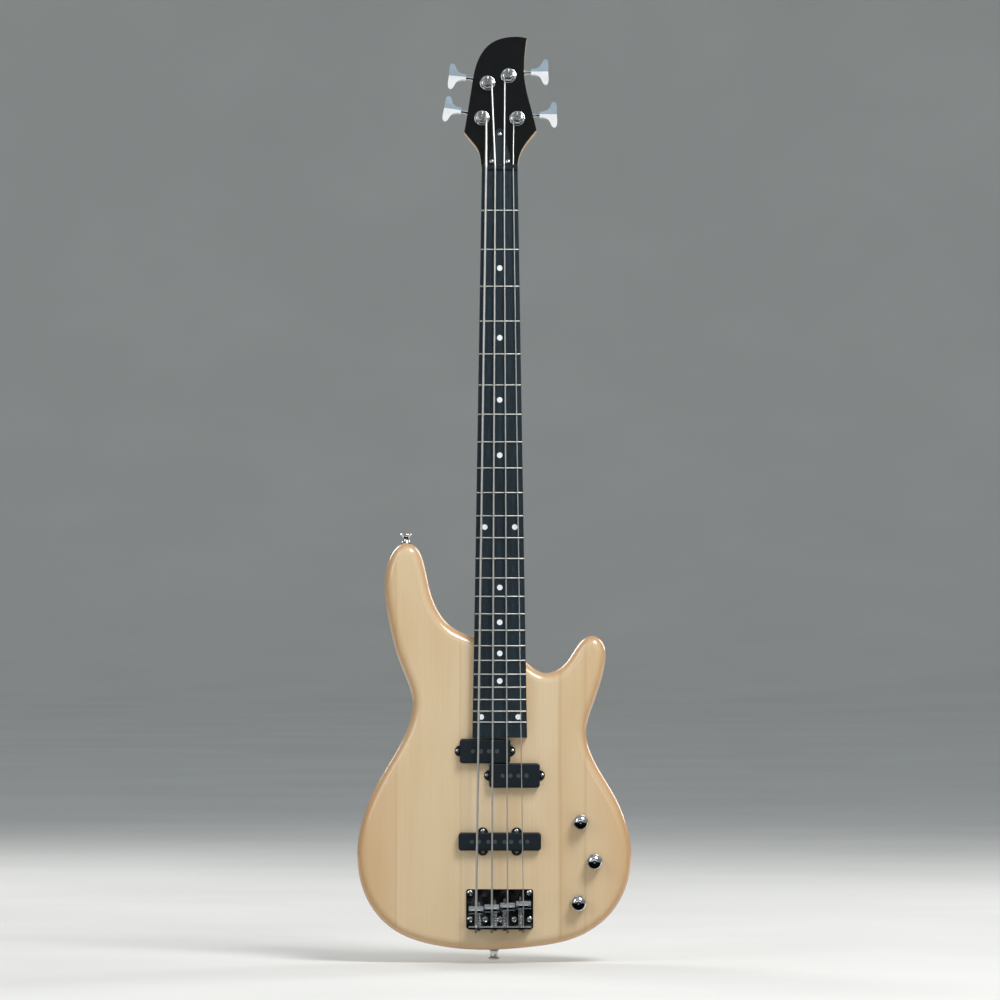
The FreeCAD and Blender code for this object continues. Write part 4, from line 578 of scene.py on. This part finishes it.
def felt_ring(foot, out, outer, inner, height):
    """Ring of felt: a rounded square carried round an axis, slightly uneven.

    Its width waves by 2 and 1.5 per cent, 7 and 17 times round, and its height dips 5 times round.
    """
    turn = np.linspace(0, 2 * math.pi, 20, endpoint=False)[:, None]
    edge = 1 + 0.02 * np.sin(7 * ROUND) + 0.015 * np.sin(17 * ROUND)
    face = 1 - FELT_DIP + FELT_DIP * np.sin(5 * ROUND)
    wide = squared(np.cos(turn), FELT_POWER) * edge
    tall = squared(np.sin(turn), FELT_POWER) * face
    half = (outer - inner) / 2 * FELT_INSET
    return turned((outer + inner) / 2 + half * wide, height / 2 * (1 + tall), foot, out)


felts = grid_mesh("strap_felt_rings", np.stack([
    felt_ring((*HORN_BUTTON, -439.6), UPWARD, *FELT_SIZE),
    felt_ring((*TAIL_BUTTON, -913.5), DOWNWARD, *FELT_SIZE),
]), FELT, round_rows=True)
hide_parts("strap_felts")
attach(felts, "bass")


def foam_pad(low, high):
    """Foam block pressed under a pickup: an ellipsoid squared off by powers of its sines and cosines."""
    rise = np.linspace(-math.pi / 2, math.pi / 2, 17)[:, None]
    level = squared(np.cos(rise), FOAM_POWER)
    shape = np.stack([level * squared(np.cos(ROUND), FOAM_POWER),
                      squared(np.sin(rise), FOAM_POWER) + 0 * ROUND,
                      level * squared(np.sin(ROUND), FOAM_POWER)], axis=-1)
    low = np.array(low)
    high = np.array(high)
    return MM * ((low + high) / 2 + shape * (high - low) / 2)


# Low and high corners of the foam solids, in millimetres
FOAM_BLOCKS = {
    "foam_pad_low_strings": ((-44.9, 10.0, -693.95), (10.3, 20.0, -669.25)),
    "foam_pad_high_strings": ((-10.3, 10.0, -722.55), (44.9, 20.0, -697.85)),
    "foam_pad_bridge": ((-46.35, 10.0, -796.2), (46.35, 20.0, -779.0)),
}
for name, corners in FOAM_BLOCKS.items():
    pad = grid_mesh(name, foam_pad(*corners), FOAM)
    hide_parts("pickup_foam")
    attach(pad, "bass")


# A string's end in its post, in millimetres: the slot's mouth, the end of the straight, the bend's radius,
# the depth of the end, the chamfer of the cut, and the slot's floor above the headstock's face
END_MOUTH = 4.5
END_STRAIGHT = 3.0
END_BEND = 1.4
END_DEPTH = 4.0
END_CHAMFER = 0.1
SLOT_FLOOR = 14.65
# Share of the string's radius that the chamfer leaves
END_CUT = 0.8


def string_end(across, along, lean, radius):
    """Cut end of a string in its post: a tube from the slot's mouth, round a quarter bend, down the hole.

    The path runs in the plane of the slot and the post's axis, each ring square to it.
    """
    bend = np.linspace(0, math.pi / 2, 9)
    entry = [END_MOUTH, END_MOUTH, END_MOUTH - END_CHAMFER, END_STRAIGHT]
    mouth = np.concatenate([entry, END_BEND - END_BEND * np.sin(bend), [0.0, 0.0]])
    level = np.concatenate([[0, 0, 0, 0], -END_BEND * (1 - np.cos(bend)), [-END_DEPTH, -END_DEPTH]])
    level = level + SLOT_FLOOR + radius
    heading = np.concatenate([[0, 0, 0, 0], bend, [math.pi / 2, math.pi / 2]])[:, None]
    thick = radius * np.array([0, END_CUT, *[1] * 12, 0])[:, None]
    slot_way = mouth[:, None] + thick * np.cos(ROUND) * np.sin(heading)
    height = level[:, None] + thick * np.cos(ROUND) * np.cos(heading)
    beside = thick * np.sin(ROUND)
    x = across + slot_way * math.sin(lean) + beside * math.cos(lean)
    s = along + slot_way * math.cos(lean) - beside * math.sin(lean)
    y = -NECK_STAND + s * math.sin(TILT) - height * math.cos(TILT)
    z = s * math.cos(TILT) + height * math.sin(TILT)
    return MM * np.stack([x, y, z], axis=-1)


# Place of each post on the headstock, the lean of its slot and the radius of the string's end
POSTS = {
    "e": (-20.73, 61.5, math.radians(9), 1.3),
    "a": (-14.21, 103.5, math.radians(5), 1.08),
    "d": (10.49, 112.3, 0.0, 0.825),
    "g": (20.56, 60.9, 0.0, 0.57),
}
for name, post in POSTS.items():
    end = grid_mesh("string_end_" + name, string_end(*post), WOUND)
    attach(end, "post_" + name)

# Tuner bushings and intonation springs

# The nut, in millimetres: half its width over flats, its foot, its top, and the radius of its flat top
NUT_FLAT = 6.2
NUT_FOOT = 0.7
NUT_TOP = 3.2
NUT_RIM = 6.1
# Radius and height of each ring, in millimetres: the domed washer, and from the nut's top down the barrel
WASHER_RINGS = ((9.0, 0.0), (9.0, 0.4), (8.86, 0.78), (8.5, 0.98), (8.0, 0.9), (7.4, NUT_FOOT))
BARREL_RINGS = ((NUT_RIM, NUT_TOP), (5.0, NUT_TOP), (4.72, 2.95), (4.7, -15.8), (5.6, -15.8), (5.6, 0.0))


def tuner_bushing(across, along):
    """Bushing with its washer, as rings about the post: a domed washer, a hexagon nut and a barrel.

    The nut's radius is its flat over the cosine of the angle from the flat's middle, and a cone of
    30 degrees chamfers its corners.
    """
    whole = np.ones_like(ROUND)
    nut = NUT_FLAT / np.cos(ROUND % (math.pi / 3) - math.pi / 6)
    chamfer = NUT_TOP - (nut - NUT_RIM) * math.tan(math.radians(30))
    washer = np.array(WASHER_RINGS)[:, :, None] * whole
    barrel = np.array(BARREL_RINGS)[:, :, None] * whole
    radii = np.vstack([washer[:, 0], nut, nut, barrel[:, 0]])
    rises = np.vstack([washer[:, 1], NUT_FOOT * whole, chamfer, barrel[:, 1]])
    seat = (across, along * math.sin(TILT) - NECK_STAND, along * math.cos(TILT))
    return turned(radii, rises, seat, HEAD_OUT)


bushings = grid_mesh("tuner_bushing_nuts", np.stack([tuner_bushing(*post[:2]) for post in POSTS.values()]),
                     CHROME, round_rows=True)
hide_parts("tuner_bushings")
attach(bushings, "bass")

# Millimetres: Z of the springs' feet, Y of their axes, radius of the coil and of its wire; rings in a turn
SPRING_FOOT = -887.24
SPRING_LEVEL = -11.2
COIL_RADIUS = 2.1
COIL_WIRE = 0.36
COIL_STEPS = 24


def spring_coil(across, end, turns):
    """Coil spring on an adjusting screw: a wire's round section carried along a screw line, square to it.

    The line is radius * (cos a, sin a) and rises evenly with a; the first and last rings are points.
    """
    share = np.linspace(0, 1, int(COIL_STEPS * turns) + 1)
    share = np.concatenate([[0.0], share, [1.0]])[:, None]
    angle = math.pi / 2 + 2 * math.pi * turns * share
    slope = math.atan2(end - SPRING_FOOT, 2 * math.pi * turns * COIL_RADIUS)
    wire = np.full_like(share, COIL_WIRE)
    wire[[0, -1]] = 0.0
    around = ROUND[::4]
    reach = COIL_RADIUS + wire * np.cos(around)
    lift = wire * np.sin(around)
    x = across + reach * np.cos(angle) + lift * math.sin(slope) * np.sin(angle)
    y = SPRING_LEVEL - reach * np.sin(angle) + lift * math.sin(slope) * np.cos(angle)
    z = SPRING_FOOT + (end - SPRING_FOOT) * share + lift * math.cos(slope)
    return MM * np.stack([x, y, z], axis=-1)


# X of each spring, Z of its end at the saddle, and its turns
SPRINGS = {
    "e": (-24.1, -872.66, 7.5),
    "a": (-5.633, -870.66, 8.5),
    "d": (5.633, -868.66, 9.75),
    "g": (24.1, -866.66, 10.75),
}
for name, (across, end, turns) in SPRINGS.items():
    coil = grid_mesh("intonation_coil_" + name, spring_coil(across, end, turns), STEEL)
    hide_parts("intonation_spring_" + name)
    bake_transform(coil)

# Floor, light and camera

FLOOR_LEVEL = -0.9305
FLOOR_RINGS = (0.0, 2.0, 6.0)
FLOOR_SIDES = 64
FLOOR_REACH = 13.0
SWEEP_ROUND = 4.0
SWEEP_TOP = 9.0
CARD_LIFT = 0.012
ROOM_LIGHT = 0.42
CAMERA_SIDE = 0.0003
CAMERA_AWAY = 10.0
CAMERA_LEVEL = -0.3873
SENSOR_MM = 36.0
FRAME_WIDTH = 1.172
# Name, place, aim, width, height, watts and tint of each light. The front panel shows in the strings, the
# frets and the keys, and the pale blue sky panel in the upper halves of the keys and in the saddles
LIGHTS = (
    ("key_light", (1.1, -1.6, 1.5), (0.0, 0.0, 0.1), 1.0, 1.3, 63.0, "#FFFFFF"),
    ("fill_light", (-2.0, -2.0, 0.6), (0.0, 0.0, -0.3), 1.2, 1.8, 16.0, "#FFFFFF"),
    ("front_panel", (0.0, -11.5, 1.35), (0.0, 0.0, 0.0), 7.0, 2.0, 42.0, "#FFFFFF"),
    ("sky_panel", (0.0, -5.0, 5.0), (0.0, 0.0, 0.0), 6.0, 2.6, 19.0, "#A4C8DE"),
    ("back_light_left", (-1.8, 2.4, 1.0), (0.0, 0.0, -0.5), 1.2, 1.4, 34.0, "#FFFFFF"),
    ("back_light_right", (2.0, 1.8, 0.6), (0.0, 0.0, -0.5), 0.8, 1.8, 26.0, "#FFFFFF"),
)


def studio_floor():
    """Pale floor that sweeps up all round: a flat, a quarter circle and a wall, turned about Z."""
    bend = np.linspace(0, math.pi / 2, 13)
    wall = FLOOR_REACH + SWEEP_ROUND
    radius = np.concatenate([FLOOR_RINGS, FLOOR_REACH + SWEEP_ROUND * np.sin(bend), [wall]])
    height = np.concatenate([[0, 0, 0], SWEEP_ROUND * (1 - np.cos(bend)), [SWEEP_TOP]])
    angle = np.linspace(0, 2 * math.pi, FLOOR_SIDES, endpoint=False)
    points = np.stack([np.outer(radius, np.cos(angle)), np.outer(radius, np.sin(angle)),
                       np.repeat(height[:, None] + FLOOR_LEVEL, FLOOR_SIDES, axis=1)], axis=-1)
    material, tree, shader = finish("pale_floor", "#E6E4E0", Roughness=0.9, Specular_IOR_Level=0.0)
    dust = streaks(tree, (400, 400, 400), 2.0)
    tones = add(tree, "ShaderNodeValToRGB", {"Fac": dust.outputs["Fac"]},
                stops=((0.30, "#E3E1DD"), (0.70, "#E9E7E3")))
    tree.links.new(tones.outputs["Color"], shader.inputs["Base Color"])
    grid_mesh("studio_floor", points, material)


def dark_flag(name, centre, across, up):
    """Flat dark card that only reflections see: its centre plus shares of two vectors."""
    shares = np.array([(-1, -1), (1, -1), (-1, 1), (1, 1)], float).reshape(2, 2, 2)
    points = np.array(centre) + shares @ np.array([across, up], float)
    cloth = finish("black_cloth", "#0A0A0B", Roughness=0.95, Specular_IOR_Level=0.0)[0]
    card = grid_mesh(name, points, cloth, round_columns=False)
    card.visible_camera = False
    card.visible_shadow = False
    card.visible_diffuse = False


def softbox(name, place, aim, width, height, power, tint):
    """A rectangular area light at a place, turned to its aim."""
    light = bpy.data.lights.new(name, "AREA")
    light.shape = "RECTANGLE"
    light.size = width
    light.size_y = height
    light.energy = power
    light.color = linear(tint)[:3]
    holder = bpy.data.objects.new(name, light)
    holder.visible_camera = False
    holder.location = place
    holder.rotation_euler = (Vector(aim) - Vector(place)).to_track_quat("-Z", "Y").to_euler()
    bpy.context.scene.collection.objects.link(holder)


studio_floor()
dark_flag("dark_flag_low", (0.0, -6.4, FLOOR_LEVEL + CARD_LIFT), (4.5, 0.0, 0.0), (0.0, 6.4, 0.0))
for light in LIGHTS:
    softbox(*light)

world = bpy.data.worlds.new("studio")
world.use_nodes = True
bpy.context.scene.world = world
backdrop = world.node_tree.nodes["Background"]
backdrop.inputs["Color"].default_value = linear("#DCE6EC")
backdrop.inputs["Strength"].default_value = ROOM_LIGHT

camera = bpy.data.objects.new("camera", bpy.data.cameras.new("camera"))
camera.location = (CAMERA_SIDE, -CAMERA_AWAY, CAMERA_LEVEL)
camera.rotation_euler = (math.pi / 2, 0.0, 0.0)
camera.data.sensor_width = SENSOR_MM
camera.data.lens = SENSOR_MM * CAMERA_AWAY / FRAME_WIDTH
bpy.context.scene.collection.objects.link(camera)
bpy.context.scene.camera = camera
bpy.context.scene.view_settings.view_transform = "Standard"
